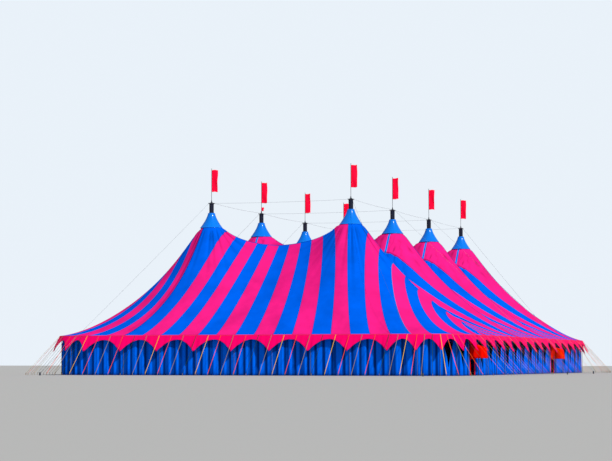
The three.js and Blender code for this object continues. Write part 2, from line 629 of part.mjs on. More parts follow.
const lowCollarZ = HEAD_TOP_Z + GAP;
const highCollarZ = lowCollarZ + PLATE + GAP;
for (let pair = 0; pair < MAST_PAIRS; pair++) {
  const z = lowCollarZ + PLATE / 2;
  const spots = mastSpots.filter((spot) => spot.pair === pair);
  const pieces = spots.map((spot) => collar(spot.x, spot.y, lowCollarZ, PLATE_HALF, PLATE));
  pieces.push(cableFrom(spots[0], [spots[1].x - PLATE_HALF + HOOK_IN, spots[1].y, z], z, PLATE_HALF));
  for (const spot of spots) {
    const atEnd = pair === 0 || pair === MAST_PAIRS - 1;
    const anchorX = spot.side * (atEnd ? STAY_CORNER_X : SIDE_EAVE + STAY_OUT_SIDE);
    const anchorY = atEnd ? Math.sign(spot.y) * (LAST_PAIR + END_EAVE + STAY_OUT_END) : spot.y;
    pieces.push(cableFrom(spot, [anchorX, anchorY, ANCHOR_Z - ANCHOR_HALF], z, PLATE_HALF));
    pieces.push(block(anchorX, anchorY, 0, ANCHOR_Z, ANCHOR_HALF));
  }
  addPiece(`stay_cables_${pair + 1}`, toGeometry(joined(pieces)), 'cable');
}
for (const side of [-1, 1]) {
  const z = highCollarZ + COLLAR / 2;
  const spots = mastSpots.filter((spot) => spot.side === side);
  const pieces = spots.map((spot) => collar(spot.x, spot.y, highCollarZ, COLLAR_HALF, COLLAR));
  for (let i = 0; i + 1 < spots.length; i++) {
    pieces.push(cableFrom(spots[i], [spots[i + 1].x, spots[i + 1].y - COLLAR_HALF + HOOK_IN, z], z, COLLAR_HALF));
  }
  addPiece(`head_cables_${rowNames[side]}`, toGeometry(joined(pieces)), 'cable');
}

export default tent;
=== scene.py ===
# %% [markdown]
# # A striped circus big top
#
# The tent is a coated cloth roof on two rows of four king poles. It is dressed around a imported model that
# already has every size, so each surface here follows the same plan: the cloth, its stripes, the scalloped
# valance, the curtains, the caps, flags, cables and guy straps.
# Everything is at one tenth of the real size. Lengths are written in metres of the real tent times METRE.

# %% Load the imported model
import math

import bpy
import numpy as np
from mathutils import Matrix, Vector


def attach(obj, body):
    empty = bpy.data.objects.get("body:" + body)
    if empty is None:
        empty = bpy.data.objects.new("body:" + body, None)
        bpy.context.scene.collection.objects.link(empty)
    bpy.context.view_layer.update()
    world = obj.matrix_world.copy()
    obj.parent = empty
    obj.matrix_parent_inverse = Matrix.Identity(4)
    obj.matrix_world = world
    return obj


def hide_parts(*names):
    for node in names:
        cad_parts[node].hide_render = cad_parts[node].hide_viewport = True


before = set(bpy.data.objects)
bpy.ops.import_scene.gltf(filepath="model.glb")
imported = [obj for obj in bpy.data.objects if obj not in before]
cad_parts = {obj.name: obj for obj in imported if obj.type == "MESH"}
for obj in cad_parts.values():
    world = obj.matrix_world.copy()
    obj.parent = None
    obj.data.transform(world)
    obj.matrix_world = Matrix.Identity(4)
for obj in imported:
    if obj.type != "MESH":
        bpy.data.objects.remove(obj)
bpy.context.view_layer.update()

# %% [markdown]
# ## The camera
# The picture was taken at eye height, from the front right of the tent and with a long lens. Where the mast
# heads and the stripes fall in the picture gives the place, the turn and the lens.

# %% Camera
METRE = 0.1  # one metre of the real tent in this model

camera_data = bpy.data.cameras.new("camera")
camera_data.lens = 109.5
camera_data.sensor_width = 36.0
camera_data.clip_end = 400
camera = bpy.data.objects.new("camera", camera_data)
camera.location = (8.63, -26.35, 0.168)
camera.rotation_euler = (math.pi / 2 + 0.0707, 0, 0.3385)
bpy.context.scene.collection.objects.link(camera)
bpy.context.scene.camera = camera

# %% [markdown]
# ## The plan
# Two rows of masts stand ten metres each side of the middle line. The eave is a straight line along the
# sides and bends round the corners of the ends. Stripes are counted around the eave, from the middle of the
# front: even counts are blue and odd ones pink, so one number tells both the place and the colour.

# %% Driving sizes
MAST_ROW = 10 * METRE
BAY = 19.2 * METRE
MAST_PAIRS = 4
LAST_PAIR = BAY * (MAST_PAIRS - 1) / 2
SIDE_EAVE = 28.2 * METRE
END_EAVE = 13.2 * METRE
CORNER_POWER = 6.5

EAVE_Z = 5.2 * METRE
CAP_RIM_Z = 20.2 * METRE
CAP_RIM_R = 1.4 * METRE
RIDGE_MID_Z = 17.3 * METRE
RIDGE_RISE = 0.7 * METRE
BAY_MID_Z = 12.2 * METRE
BAY_RISE = 0.8 * METRE
SADDLE_POWER = 2.4
SLOPE_POWER = 1.15
CONE_FADE = 2.7 * METRE

STRIPES_FAN = 6.5
STRIPES_END = 15
STRIPES_BAY = 8
FAN_EAVE = 16.8 * METRE
STRIPES_ROUND = 2 * (2 * STRIPES_END + STRIPES_BAY * (MAST_PAIRS - 1))
HALF_ROUND = STRIPES_ROUND // 2
HIP_STRIPE = 1.6 * METRE
MAST_STRIPE_HALF = 3.6 * METRE

MASTS = [
    (side, pair, side * MAST_ROW, -LAST_PAIR + pair * BAY)
    for pair in range(MAST_PAIRS)
    for side in (-1, 1)
]
ROW_NAMES = {-1: "left", 1: "right"}


# %% Height of the cloth
def roof_height(x, y):
    """Height over the plan: the crest line of the tent, times how far the point is from the eave.

    crest = bay + (ridge - bay) * (1 - distance to the nearest pair / half a bay) ^ SADDLE_POWER
    slope = eave + (crest - eave) * (1 - out) ^ SLOPE_POWER, with out from 0 at the masts to 1 at the eave
    height = slope + (cap rim - slope) * exp(-(distance to the mast - rim radius) / CONE_FADE)
    """
    across = np.abs(x)
    beyond = np.maximum(np.abs(y) - LAST_PAIR, 0)
    from_pair = np.where(beyond > 0, 0, np.abs((np.abs(y) / BAY) % 1 - 0.5) * BAY)
    hang = np.clip(1 - from_pair / (BAY / 2), 0, 1) ** SADDLE_POWER
    inward = np.minimum(across / MAST_ROW, 1) ** 2
    bay = BAY_MID_Z + BAY_RISE * inward
    crest = bay + (RIDGE_MID_Z + RIDGE_RISE * inward - bay) * hang
    side = np.maximum(across - MAST_ROW, 0) / (SIDE_EAVE - MAST_ROW)
    end = beyond / END_EAVE
    square = (side**CORNER_POWER + end**CORNER_POWER) ** (1 / CORNER_POWER)
    out = np.clip(square**3 + np.hypot(side, end) * (1 - square**2), 0, 1)
    slope = EAVE_Z + (crest - EAVE_Z) * (1 - out) ** SLOPE_POWER
    cone = np.exp(-np.maximum(mast_distance(x, y) - CAP_RIM_R, 0) / CONE_FADE) * (1 - out**4)
    return slope + (CAP_RIM_Z - slope) * cone


def mast_distance(x, y):
    """Distance in the plan to the nearest king pole."""
    across = np.abs(np.abs(x) - MAST_ROW)
    along = np.abs(y) - LAST_PAIR
    along = np.where(along > 0, along, np.abs((np.abs(y) / BAY) % 1 - 0.5) * BAY)
    return np.hypot(across, along)


# %% The line of the eave
def corner_line(steps=400):
    """A quarter of the eave: straight along the end, then (sin^p + cos^p)^(-1/p) round the corner."""
    angle = np.linspace(0, math.pi / 2, steps)
    sine, cosine = np.sin(angle), np.maximum(np.cos(angle), 0)
    reach = (sine**CORNER_POWER + cosine**CORNER_POWER) ** (-1 / CORNER_POWER)
    x = np.concatenate([[0], MAST_ROW + (SIDE_EAVE - MAST_ROW) * reach * sine])
    out = np.concatenate([[END_EAVE], END_EAVE * reach * cosine])
    length = np.concatenate([[0], np.cumsum(np.hypot(np.diff(x), np.diff(out)))])
    return x, out, length


CORNER_X, CORNER_OUT, CORNER_LENGTH = corner_line()


def eave_point(count):
    """Plan points of the eave by stripe count, which runs to the right from the middle of the front."""
    turns = (np.asarray(count, float) + HALF_ROUND) % STRIPES_ROUND - HALF_ROUND
    k = np.abs(turns)
    back = k > HALF_ROUND - STRIPES_END
    share = np.where(back, HALF_ROUND - k, np.minimum(k, STRIPES_END))
    rest = (CORNER_LENGTH[-1] - FAN_EAVE) / (STRIPES_END - STRIPES_FAN)
    target = np.where(
        share <= STRIPES_FAN,
        FAN_EAVE * share / STRIPES_FAN,
        FAN_EAVE + rest * (share - STRIPES_FAN),
    )
    x = np.interp(target, CORNER_LENGTH, CORNER_X)
    out = np.interp(target, CORNER_LENGTH, CORNER_OUT)
    on_side = (k >= STRIPES_END) & ~back
    y_side = -LAST_PAIR + (k - STRIPES_END) / STRIPES_BAY * BAY
    y = np.where(on_side, y_side, np.where(back, 1, -1) * (LAST_PAIR + out))
    return np.where(turns < 0, -1, 1) * np.where(on_side, SIDE_EAVE, x), y


def eave_frame(count):
    """Plan points on the eave, with the unit direction outwards and the one along it."""
    step = 0.2
    x, y = eave_point(count)
    ahead = np.stack(eave_point(count + step), -1) - np.stack(eave_point(count - step), -1)
    along = ahead / np.linalg.norm(ahead, axis=-1, keepdims=True)
    outward = np.stack([along[..., 1], -along[..., 0]], -1)
    return np.stack([x, y], -1), outward, along


def beside(count, offset, z):
    """Points at a height, moved outwards from the eave by an offset."""
    place, outward, _ = eave_frame(count)
    plan = place + outward * np.asarray(offset)[..., None]
    return np.concatenate([plan, np.broadcast_to(z, plan.shape[:-1])[..., None]], -1)


print("eave", round(float(CORNER_LENGTH[-1]) / METRE, 1), "m from the middle of an end to its mast line")

# %% [markdown]
# ## From arrays to meshes
# Every surface is a grid of points worked out at once. One helper turns arrays of points and faces into a
# mesh, another finishes the piece: it rides on the tent's only body and stands for its plain solid.

# %% Mesh helpers
def make_piece(name, points, faces, slot, replaces=(), smooth=True, values=None):
    """A named piece from points (n, 3) and tables of faces, each table with one number of corners."""
    points = np.asarray(points, np.float32).reshape(-1, 3)
    tables = [np.asarray(table, np.int32) for table in faces]
    mesh = bpy.data.meshes.new(name)
    mesh.vertices.add(len(points))
    mesh.vertices.foreach_set("co", points.ravel())
    corners = np.concatenate([table.ravel() for table in tables])
    totals = np.concatenate([np.full(len(table), table.shape[1], np.int32) for table in tables])
    mesh.loops.add(len(corners))
    mesh.loops.foreach_set("vertex_index", corners)
    mesh.polygons.add(len(totals))
    mesh.polygons.foreach_set("loop_start", (np.cumsum(totals) - totals).astype(np.int32))
    for label, numbers in (values or {}).items():
        layer = mesh.attributes.new(label, "FLOAT", "POINT")
        layer.data.foreach_set("value", np.asarray(numbers, np.float32).ravel())
    mesh.update(calc_edges=True)
    mesh.validate()
    if smooth:
        mesh.shade_smooth()
    piece = bpy.data.objects.new(name, mesh)
    bpy.context.scene.collection.objects.link(piece)
    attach(piece, "root")
    if replaces:
        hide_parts(*replaces)
    return piece


def grid_faces(rows, columns, keep=None, start=0, closed=False):
    """Faces of a grid of rows by columns. Their normal is the column step crossed with the row step."""
    i, j = np.meshgrid(np.arange(rows - 1), np.arange(columns if closed else columns - 1), indexing="ij")
    after = (j + 1) % columns
    low, high = i * columns, (i + 1) * columns
    quads = np.stack([low + j, low + after, high + after, high + j], -1).reshape(-1, 4)
    return (quads if keep is None else quads[keep.ravel()]) + start


def thicken(piece, thickness):
    """Gives a surface its thickness, inwards from its face."""
    solidify = piece.modifiers.new("thickness", "SOLIDIFY")
    solidify.thickness = thickness
    solidify.offset = -1


def paint(piece, material, sharp=50):
    """Puts a finish on a hard piece. Edges that turn by more than an angle in degrees stay sharp."""
    piece.data.set_sharp_from_angle(angle=math.radians(sharp))
    piece.data.materials.append(material)


def make_sheet(
    name, grid, slot, replaces, material, thickness, keep=None, values=None
):
    """A piece of cloth from a grid of points (rows, columns, 3).
    """
    piece = make_piece(name, grid, [grid_faces(*grid.shape[:2], keep=keep)], slot, replaces, values=values)
    piece.data.materials.append(material)
    thicken(piece, thickness)
    areas = np.zeros(len(piece.data.polygons), np.float32)
    piece.data.polygons.foreach_get("area", areas)
    return piece


# %% Tubes and bars
def tube_rings(paths, radius, sides):
    """Rings around many paths at once: paths (n, m, 3) gives points (n, m, sides, 3)."""
    paths = np.asarray(paths, float)
    ahead = np.gradient(paths, axis=1)
    ahead /= np.linalg.norm(ahead, axis=-1, keepdims=True)
    up = np.where(np.abs(ahead[..., 2:3]) > 0.9, [1.0, 0, 0], [0, 0, 1.0])
    side = np.cross(ahead, up)
    side /= np.linalg.norm(side, axis=-1, keepdims=True)
    over = np.cross(side, ahead)
    angle = np.linspace(0, 2 * math.pi, sides, endpoint=False)
    radius = np.broadcast_to(radius, paths.shape[:2])[..., None, None]
    ring = np.cos(angle)[:, None] * side[..., None, :] + np.sin(angle)[:, None] * over[..., None, :]
    return paths[..., None, :] + radius * ring


def tubes(paths, radius, sides=6):
    """Points and faces of closed tubes along many paths with the same number of points."""
    rings = tube_rings(paths, radius, sides)
    count, steps = rings.shape[:2]
    one = grid_faces(steps, sides, closed=True)[:, ::-1]
    walls = (np.arange(count)[:, None, None] * steps * sides + one).reshape(-1, 4)
    first = np.arange(count)[:, None] * steps * sides + np.arange(sides)
    ends = np.concatenate([first, (first + (steps - 1) * sides)[:, ::-1]])
    return rings.reshape(-1, 3), walls, ends


def bars(starts, ends, radius, sides=6):
    """Straight closed bars from each start to its end."""
    return tubes(np.stack([starts, ends], 1), radius, sides)


# The faces of a box whose corners are four below and the same four above
BOX_FACES = np.array([[0, 1, 5, 4], [1, 2, 6, 5], [2, 3, 7, 6], [3, 0, 4, 7], [4, 5, 6, 7], [3, 2, 1, 0]])


def boxes(centres, half, low, high):
    """Upright blocks: half is the half size in x and y, low and high the heights."""
    square = np.array([[-1, -1], [1, -1], [1, 1], [-1, 1]]) * half
    plan = np.asarray(centres)[:, None, :2] + square
    points = [np.concatenate([plan, np.full(plan.shape[:2] + (1,), z)], -1) for z in (low, high)]
    points = np.stack(points, 1)
    start = np.arange(len(points))[:, None, None] * 8
    return points.reshape(-1, 3), (start + BOX_FACES).reshape(-1, 4)


def joined(*parts):
    """Points and face tables of several parts as one."""
    points, tables, start = [], [], 0
    for part in parts:
        points.append(part[0])
        tables += [np.asarray(table) + start for table in part[1:]]
        start += len(part[0])
    return np.concatenate(points), tables


def turned(profile, sides, x=0.0, y=0.0):
    """A closed turned shape about an upright axis: profile (n, 2) of radius and height, bottom to top."""
    profile = np.asarray(profile, float)
    angle = np.linspace(0, 2 * math.pi, sides, endpoint=False)
    radius, z = profile[:, :1], profile[:, 1:]
    ring = np.stack([x + radius * np.cos(angle), y + radius * np.sin(angle), z + 0 * angle], -1)
    first = np.arange(sides)
    ends = np.stack([first[::-1], first + (len(profile) - 1) * sides])
    return ring.reshape(-1, 3), grid_faces(len(profile), sides, closed=True), ends

# %% [markdown]
# ## Finishes
# Coated tent cloth is woven polyester under a smooth skin: it has a fine weave, a soft shine and colour that
# shifts a little from sun and dust. These effects are shared, so each is a node group that is built once and
# placed in every cloth with its own values. The shader itself stays in the material.

# %% Node helpers
def new_group(name, inputs, outputs):
    """An empty node group with float or colour sockets, given as (name, type, value)."""
    group = bpy.data.node_groups.new(name, "ShaderNodeTree")
    for label, kind, value in inputs:
        socket = group.interface.new_socket(label, in_out="INPUT", socket_type=kind)
        if value is not None:
            socket.default_value = value
    for label, kind in outputs:
        group.interface.new_socket(label, in_out="OUTPUT", socket_type=kind)
    return group, group.nodes.new("NodeGroupInput"), group.nodes.new("NodeGroupOutput")


def node(tree, kind, **values):
    """A node of that kind. A value sets an input socket by its name, or a property of the node."""
    made = tree.nodes.new(kind)
    for key, value in values.items():
        if hasattr(made, key):
            setattr(made, key, value)
        else:
            made.inputs[key.replace("_", " ")].default_value = value
    return made


def maths(tree, operation, first, second=0.0, third=0.0):
    """A Math node, each operand a socket or a number."""
    made = tree.nodes.new("ShaderNodeMath")
    made.operation = operation
    for place, value in enumerate((first, second, third)):
        if isinstance(value, (int, float)):
            made.inputs[place].default_value = value
        else:
            tree.links.new(value, made.inputs[place])
    return made.outputs[0]


def blend_colours(tree, share, first, second):
    """Mixes two colours, each a socket or a colour, by a share that is a socket or a number."""
    made = tree.nodes.new("ShaderNodeMix")
    made.data_type = "RGBA"
    for place, value in ((0, share), (6, first), (7, second)):
        if isinstance(value, bpy.types.NodeSocket):
            tree.links.new(value, made.inputs[place])
        else:
            made.inputs[place].default_value = value
    return made.outputs[2]


def colour(red, green, blue):
    """A colour as a screen shows it, from 0 to 255, as the linear colour that a shader takes."""
    levels = np.array([red, green, blue]) / 255
    linear = np.where(levels <= 0.04045, levels / 12.92, ((levels + 0.055) / 1.055) ** 2.4)
    return (*linear.tolist(), 1.0)


def ranged(tree, value, low, high, to_low=0.0, to_high=1.0):
    """Maps a socket's values from one range to another, clamped."""
    made = node(tree, "ShaderNodeMapRange")
    tree.links.new(value, made.inputs[0])
    for place, number in enumerate((low, high, to_low, to_high), 1):
        made.inputs[place].default_value = number
    return made.outputs[0]


# %% Group: weathered cloth
def build_weathering():
    """Large soft patches of dust and sun: a colour factor, and a change of roughness."""
    group, inside, outside = new_group(
        "weathering",
        [
            ("Colour", "NodeSocketColor", None),
            ("Patch Size", "NodeSocketFloat", 4.0),
            ("Amount", "NodeSocketFloat", 0.2),
        ],
        [("Colour", "NodeSocketColor"), ("Roughness Shift", "NodeSocketFloat"), ("Mask", "NodeSocketFloat")],
    )
    place = node(group, "ShaderNodeTexCoord")
    patches = node(group, "ShaderNodeTexNoise", Detail=5.0, Roughness=0.6)
    group.links.new(place.outputs["Object"], patches.inputs["Vector"])
    group.links.new(inside.outputs["Patch Size"], patches.inputs["Scale"])
    mask = ranged(group, patches.outputs[0], 0.35, 0.7)
    share = maths(group, "MULTIPLY", mask, inside.outputs["Amount"])
    darker = node(group, "ShaderNodeHueSaturation", Saturation=1.0, Value=0.55)
    group.links.new(inside.outputs["Colour"], darker.inputs["Color"])
    group.links.new(
        blend_colours(group, share, inside.outputs["Colour"], darker.outputs[0]), outside.inputs["Colour"]
    )
    group.links.new(maths(group, "MULTIPLY", share, 0.4), outside.inputs["Roughness Shift"])
    group.links.new(mask, outside.inputs["Mask"])
    return group


# %% Group: fine weave
def build_weave():
    """Crossed threads as height: a sine wave along the cloth times one across it, on Object coordinates."""
    group, inside, outside = new_group(
        "weave", [("Threads", "NodeSocketFloat", 900.0)], [("Height", "NodeSocketFloat")]
    )
    place = node(group, "ShaderNodeTexCoord")
    parts = node(group, "ShaderNodeSeparateXYZ")
    group.links.new(place.outputs["Object"], parts.inputs[0])
    waves = []
    for first, second in ((0, 2), (1, 2)):
        lean = maths(group, "ADD", parts.outputs[first], parts.outputs[second])
        waves.append(maths(group, "SINE", maths(group, "MULTIPLY", lean, inside.outputs["Threads"])))
    group.links.new(maths(group, "MULTIPLY", waves[0], waves[1]), outside.inputs["Height"])
    return group


WEATHERING = build_weathering()
WEAVE = build_weave()


def place_group(tree, group, **values):
    """Puts a node group into a material, with its inputs set to numbers, colours or sockets."""
    made = tree.nodes.new("ShaderNodeGroup")
    made.node_tree = group
    for key, value in values.items():
        socket = made.inputs[key.replace("_", " ")]
        if isinstance(value, bpy.types.NodeSocket):
            tree.links.new(value, socket)
        else:
            socket.default_value = value
    return made


def new_material(name, **values):
    """A material with one Principled BSDF, whose plain values are set on its own sockets."""
    material = bpy.data.materials.new(name)
    material.use_nodes = True
    shader = material.node_tree.nodes["Principled BSDF"]
    for key, value in values.items():
        shader.inputs[key.replace("_", " ")].default_value = value
    return material, material.node_tree, shader


def value_of(tree, label):
    """A number that the mesh carries at its points."""
    return node(tree, "ShaderNodeAttribute", attribute_name=label).outputs["Fac"]


def over_half(tree, label):
    """1 where the number that the mesh carries is over a half, and 0 elsewhere."""
    return maths(tree, "GREATER_THAN", value_of(tree, label), 0.5)


def wear(tree, shader, base, amount, patch, roughness):
    """Weathered colour, and a roughness that follows it."""
    worn = place_group(tree, WEATHERING, Colour=base, Patch_Size=patch, Amount=amount)
    rough = maths(tree, "ADD", worn.outputs["Roughness Shift"], roughness)
    tree.links.new(worn.outputs["Colour"], shader.inputs["Base Color"])
    tree.links.new(rough, shader.inputs["Roughness"])
    return worn


def add_relief(tree, shader, height, strength, distance):
    """Bends the light by a height, as a bump over a distance in metres."""
    bumped = node(tree, "ShaderNodeBump", Strength=strength, Distance=distance)
    tree.links.new(height, bumped.inputs["Height"])
    tree.links.new(bumped.outputs[0], shader.inputs["Normal"])


def finish_cloth(
    tree, shader, base, amount=0.2, patch=3.0, roughness=0.45, threads=900.0, height=None, bump=0.1
):
    """Weathered colour, a roughness that follows it, and a bump from the weave and any other height."""
    wear(tree, shader, base, amount, patch, roughness)
    relief = maths(tree, "MULTIPLY", place_group(tree, WEAVE, Threads=threads).outputs[0], 0.15)
    if height is not None:
        relief = maths(tree, "ADD", relief, height)
    add_relief(tree, shader, relief, bump, 0.002)


# %% [markdown]
# ## The striped roof
# The roof is welded from coloured strips and laced together on the lines of the mast pairs. The strips of an
# end fan out from the line between two masts to the eave, and those of a bay run straight across the tent.
# Each point carries its stripe count, so the colour comes from the count and the edges stay sharp at any
# distance. A light blue tape covers the lacing and runs down each row from cap to cap.

# %% Striped cloth
PINK = colour(251, 34, 140)
BLUE = colour(0, 100, 243)
TAPE_BLUE = colour(20, 132, 250)
LACING_BLUE = colour(0, 56, 176)
SEAM_PURPLE = colour(40, 0, 60)
SEAM_SHADE = 0.5


def build_roof_cloth():
    """Even stripe counts are blue, odd ones pink. Tapes and lacings lie where their value is over a half."""
    material, tree, shader = new_material("roof_cloth", Specular_IOR_Level=0.0)
    count = maths(tree, "ADD", value_of(tree, "stripe"), 0.5)
    odd = maths(tree, "FLOORED_MODULO", maths(tree, "FLOOR", count), 2.0)
    striped = blend_colours(tree, odd, BLUE, PINK)
    laced = blend_colours(tree, over_half(tree, "lacing"), striped, LACING_BLUE)
    taped = blend_colours(tree, over_half(tree, "tape"), laced, TAPE_BLUE)
    from_middle = maths(tree, "ABSOLUTE", maths(tree, "SUBTRACT", maths(tree, "FRACT", count), 0.5))
    seam = ranged(tree, from_middle, 0.475, 0.49, 0.0, SEAM_SHADE)
    sewn = blend_colours(tree, seam, taped, SEAM_PURPLE)
    # painted shade: the hollows of the wrinkles under the caps are painted darker, as though in shade
    crease_shade = node(tree, "ShaderNodeHueSaturation", Value=0.3)
    tree.links.new(sewn, crease_shade.inputs["Color"])
    depth = ranged(tree, value_of(tree, "crease"), -1.0, -0.05, 0.8, 0.0)
    sewn = blend_colours(tree, depth, sewn, crease_shade.outputs[0])
    finish_cloth(tree, shader, sewn, amount=0.5, patch=3.4, roughness=0.5, bump=0.12)
    return material


ROOF_CLOTH = build_roof_cloth()
CLOTH = 0.02 * METRE
SECTION_GAP = 0.003 * METRE
HOLE_R = 1.15 * METRE
TAPE_HALF = 0.15 * METRE
LACING_HALF = 0.09 * METRE
FRONT_TAPE = 8.5
FRONT_TAPE_HALF = 0.03
HIP_CREASE = -6.5
HIP_CREASE_HALF = 0.04
TAPE_RISE = 0.006 * METRE
NOT_NEAR = 9  # stands for the distance to a line that isn't on this section
STRIPE_STEPS = 12  # grid columns in each stripe


# %% Wrinkles under the caps
FOLD_START = 1.6 * METRE
FOLD_FADE = 2.4 * METRE
FOLD_HEIGHT = 0.1 * METRE
FOLD_REACH = (1.5 * METRE, 2.3 * METRE)
TUCK = 0.18 * METRE
TUCK_REACH = (1.4 * METRE, 1.95 * METRE)


def smooth_step(value, low, high):
    """0 below low, 1 above high, and 3 t^2 - 2 t^3 between."""
    share = np.clip((value - low) / (high - low), 0, 1)
    return share * share * (3 - 2 * share)


def wrinkles(x, y):
    """Radial folds, exp(-(distance - FOLD_START) / FOLD_FADE) times a sum of sines round the mast, and the
    tuck under the cap's rim."""
    pair_y = np.clip(np.round((y + LAST_PAIR) / BAY), 0, MAST_PAIRS - 1) * BAY - LAST_PAIR
    angle = np.arctan2(y - pair_y, np.abs(x) - MAST_ROW)
    distance = mast_distance(x, y)
    fade = np.exp(-np.maximum(distance - FOLD_START, 0) / FOLD_FADE)
    folds = np.sin(17 * angle + 1.3 * np.sin(5 * angle)) + 0.6 * np.sin(29 * angle + 2)
    tuck = TUCK * (1 - smooth_step(distance, *TUCK_REACH))
    return fade * folds * smooth_step(distance, *FOLD_REACH), tuck


def roof_section(name, count, x, y, dent=0.0):
    """A laced section from a grid of stripe counts and plan points, open under the caps of its masts."""
    distance = mast_distance(x, y)
    inside = distance < HOLE_R
    gone = inside[:-1, :-1] & inside[1:, :-1] & inside[:-1, 1:] & inside[1:, 1:]
    pair_line = np.abs(((y + LAST_PAIR) / BAY + 0.5) % 1 - 0.5) * BAY
    pair_line = np.where(np.abs(y) > LAST_PAIR, np.abs(y) - LAST_PAIR, pair_line)
    row_line = np.where(np.abs(y) < LAST_PAIR, np.abs(np.abs(x) - MAST_ROW), NOT_NEAR)
    on_end = np.abs(y) > LAST_PAIR
    front_line = np.where(on_end, np.abs(count - FRONT_TAPE), NOT_NEAR)
    hip_line = np.where(on_end, np.abs(count - HIP_CREASE), NOT_NEAR)
    lacing = np.maximum(1 - 0.5 * pair_line / LACING_HALF, 1 - 0.5 * hip_line / HIP_CREASE_HALF)
    tape = np.maximum(1 - 0.5 * row_line / TAPE_HALF, 1 - 0.5 * front_line / FRONT_TAPE_HALF)
    crease, tuck = wrinkles(x, y)
    z = roof_height(x, y) - dent + FOLD_HEIGHT * crease - tuck + TAPE_RISE * (tape > 0.5)
    return make_sheet(
        name + "_cloth", np.stack([x, y, z], -1), "roof", [name], ROOF_CLOTH, CLOTH,
        keep=~gone, values={"stripe": count, "tape": tape, "lacing": lacing, "crease": crease},
    )


# %% Fans of the ends
# For edges at some stripe counts: the place on the mast line, the bend, and how far they bow to the right
PAIR_LINE_EDGES = np.array([(-6.5, -10.7), (-5.5, -7.7), (-4.5, -6.4), (4.5, 7.6), (5.5, 9.8), (6.5, 12.5)])
EDGE_BENDS = np.array(
    [(-6.5, 1.65), (-5.5, 1.3), (-4.5, 1.35), (-2.5, 1), (4.5, 1), (6.5, 1.5), (9.5, 1.5), (12, 2)]
)
EDGE_BOWS = np.array(
    [(-9, 1.0), (-6.5, 0.42), (-2.5, 0.36), (-0.5, 0.12), (1.5, 0.37), (4.5, 0.38), (5.5, 0)]
)
BOW_PEAK = 5.38  # makes share * (1 - share) ^ 1.5 reach one
HIP_DENT = 0.6 * METRE
HIP_DENT_FULL = 7.1  # stripes from the middle where the dent is full
HIP_DENT_FADE = (8, 14)  # and where it dies out again


def hip_x(k):
    """Where a stripe edge crosses the mast line of an end: even steps between the masts, wide petals beside
    each mast, then 1.6 m steps that widen evenly as far as the eave."""
    inner = np.interp(k, PAIR_LINE_EDGES[:, 0], PAIR_LINE_EDGES[:, 1] * METRE)
    whole = STRIPES_END - STRIPES_FAN
    spread = (SIDE_EAVE - np.abs(inner) - HIP_STRIPE * whole) / whole**2
    n = np.maximum(np.abs(k) - STRIPES_FAN, 0)
    return inner + np.sign(k) * (HIP_STRIPE * n + spread * n**2)


def end_section(name, side):
    """Stripe edges bend out from the mast line to the eave: x moves by share ^ bend, and by a bow between.

    Beyond the left hip the cloth is pulled in, so the hip is a crease. side is 1 at the front and -1 at
    the back.
    """
    count = np.linspace(-STRIPES_END, STRIPES_END, 2 * STRIPES_END * STRIPE_STEPS + 1)
    share = np.linspace(0, 1, 60) ** 1.25
    eave_x, eave_y = eave_point(count)
    start_x = hip_x(count)
    start_y = -LAST_PAIR - SECTION_GAP
    bend = np.interp(count, EDGE_BENDS[:, 0], EDGE_BENDS[:, 1])[:, None]
    bow = np.interp(count, EDGE_BOWS[:, 0], EDGE_BOWS[:, 1])[:, None] * METRE
    bowed = BOW_PEAK * share * (1 - share) ** 1.5
    x = start_x[:, None] + (eave_x - start_x)[:, None] * share**bend + bow * bowed
    y = start_y + (np.minimum(eave_y, start_y) - start_y)[:, None] * share
    counts = np.repeat(count[:, None], len(share), 1)
    beyond_hip = smooth_step(-count, -HIP_CREASE, HIP_DENT_FULL)
    beyond_hip = beyond_hip * (1 - smooth_step(-count, *HIP_DENT_FADE))
    dent = HIP_DENT * beyond_hip[:, None] * np.sin(math.pi * share**0.7)
    return roof_section(name, counts, side * x, side * y, dent)


# %% Bays
def row_y(count):
    """Stripe edges on the mast rows: 3.6 m each side of a mast, and even steps between."""
    inner = MAST_STRIPE_HALF + (BAY - 2 * MAST_STRIPE_HALF) * (count - 0.5) / (STRIPES_BAY - 1)
    half = MAST_STRIPE_HALF / 0.5
    last = BAY - half * (STRIPES_BAY - count)
    return np.where(count < 0.5, half * count, np.where(count > STRIPES_BAY - 0.5, last, inner))


def bay_section(name, number):
    """Stripes run straight across between the rows, and spread evenly from the rows to the side eaves."""
    steps = STRIPES_BAY * STRIPE_STEPS
    count = np.linspace(0, STRIPES_BAY, steps + 1)
    slope = MAST_ROW + (SIDE_EAVE - MAST_ROW) * np.linspace(0, 1, 44) ** 1.2
    across = np.concatenate([-slope[::-1], np.linspace(-MAST_ROW, MAST_ROW, 42)[1:-1], slope])
    share = np.maximum(np.abs(across) - MAST_ROW, 0) / (SIDE_EAVE - MAST_ROW)
    plan_y = row_y(count)[:, None] * (1 - share) + (count / STRIPES_BAY * BAY)[:, None] * share
    y = -LAST_PAIR + number * BAY + np.clip(plan_y, SECTION_GAP, BAY - SECTION_GAP)
    x = np.repeat(across[None, :], len(count), 0)
    counts = np.repeat((STRIPES_END + STRIPES_BAY * number + count)[:, None], len(across), 1)
    return roof_section(name, counts, x, y)


roof = [end_section("roof_front_end", 1)]
roof += [bay_section(f"roof_bay_{number + 1}", number) for number in range(MAST_PAIRS - 1)]
roof.append(end_section("roof_back_end", -1))
print("roof of", len(roof), "sections")

# %% [markdown]
# ## The valance
# A pink curtain is sewn to the edge of the roof and cut in arches, with a point at each guy strap. The
# straps pull the points outwards, so the curtain stands out by about half of its drop, with upright folds
# that run into the points. Its lower edge has a hem.

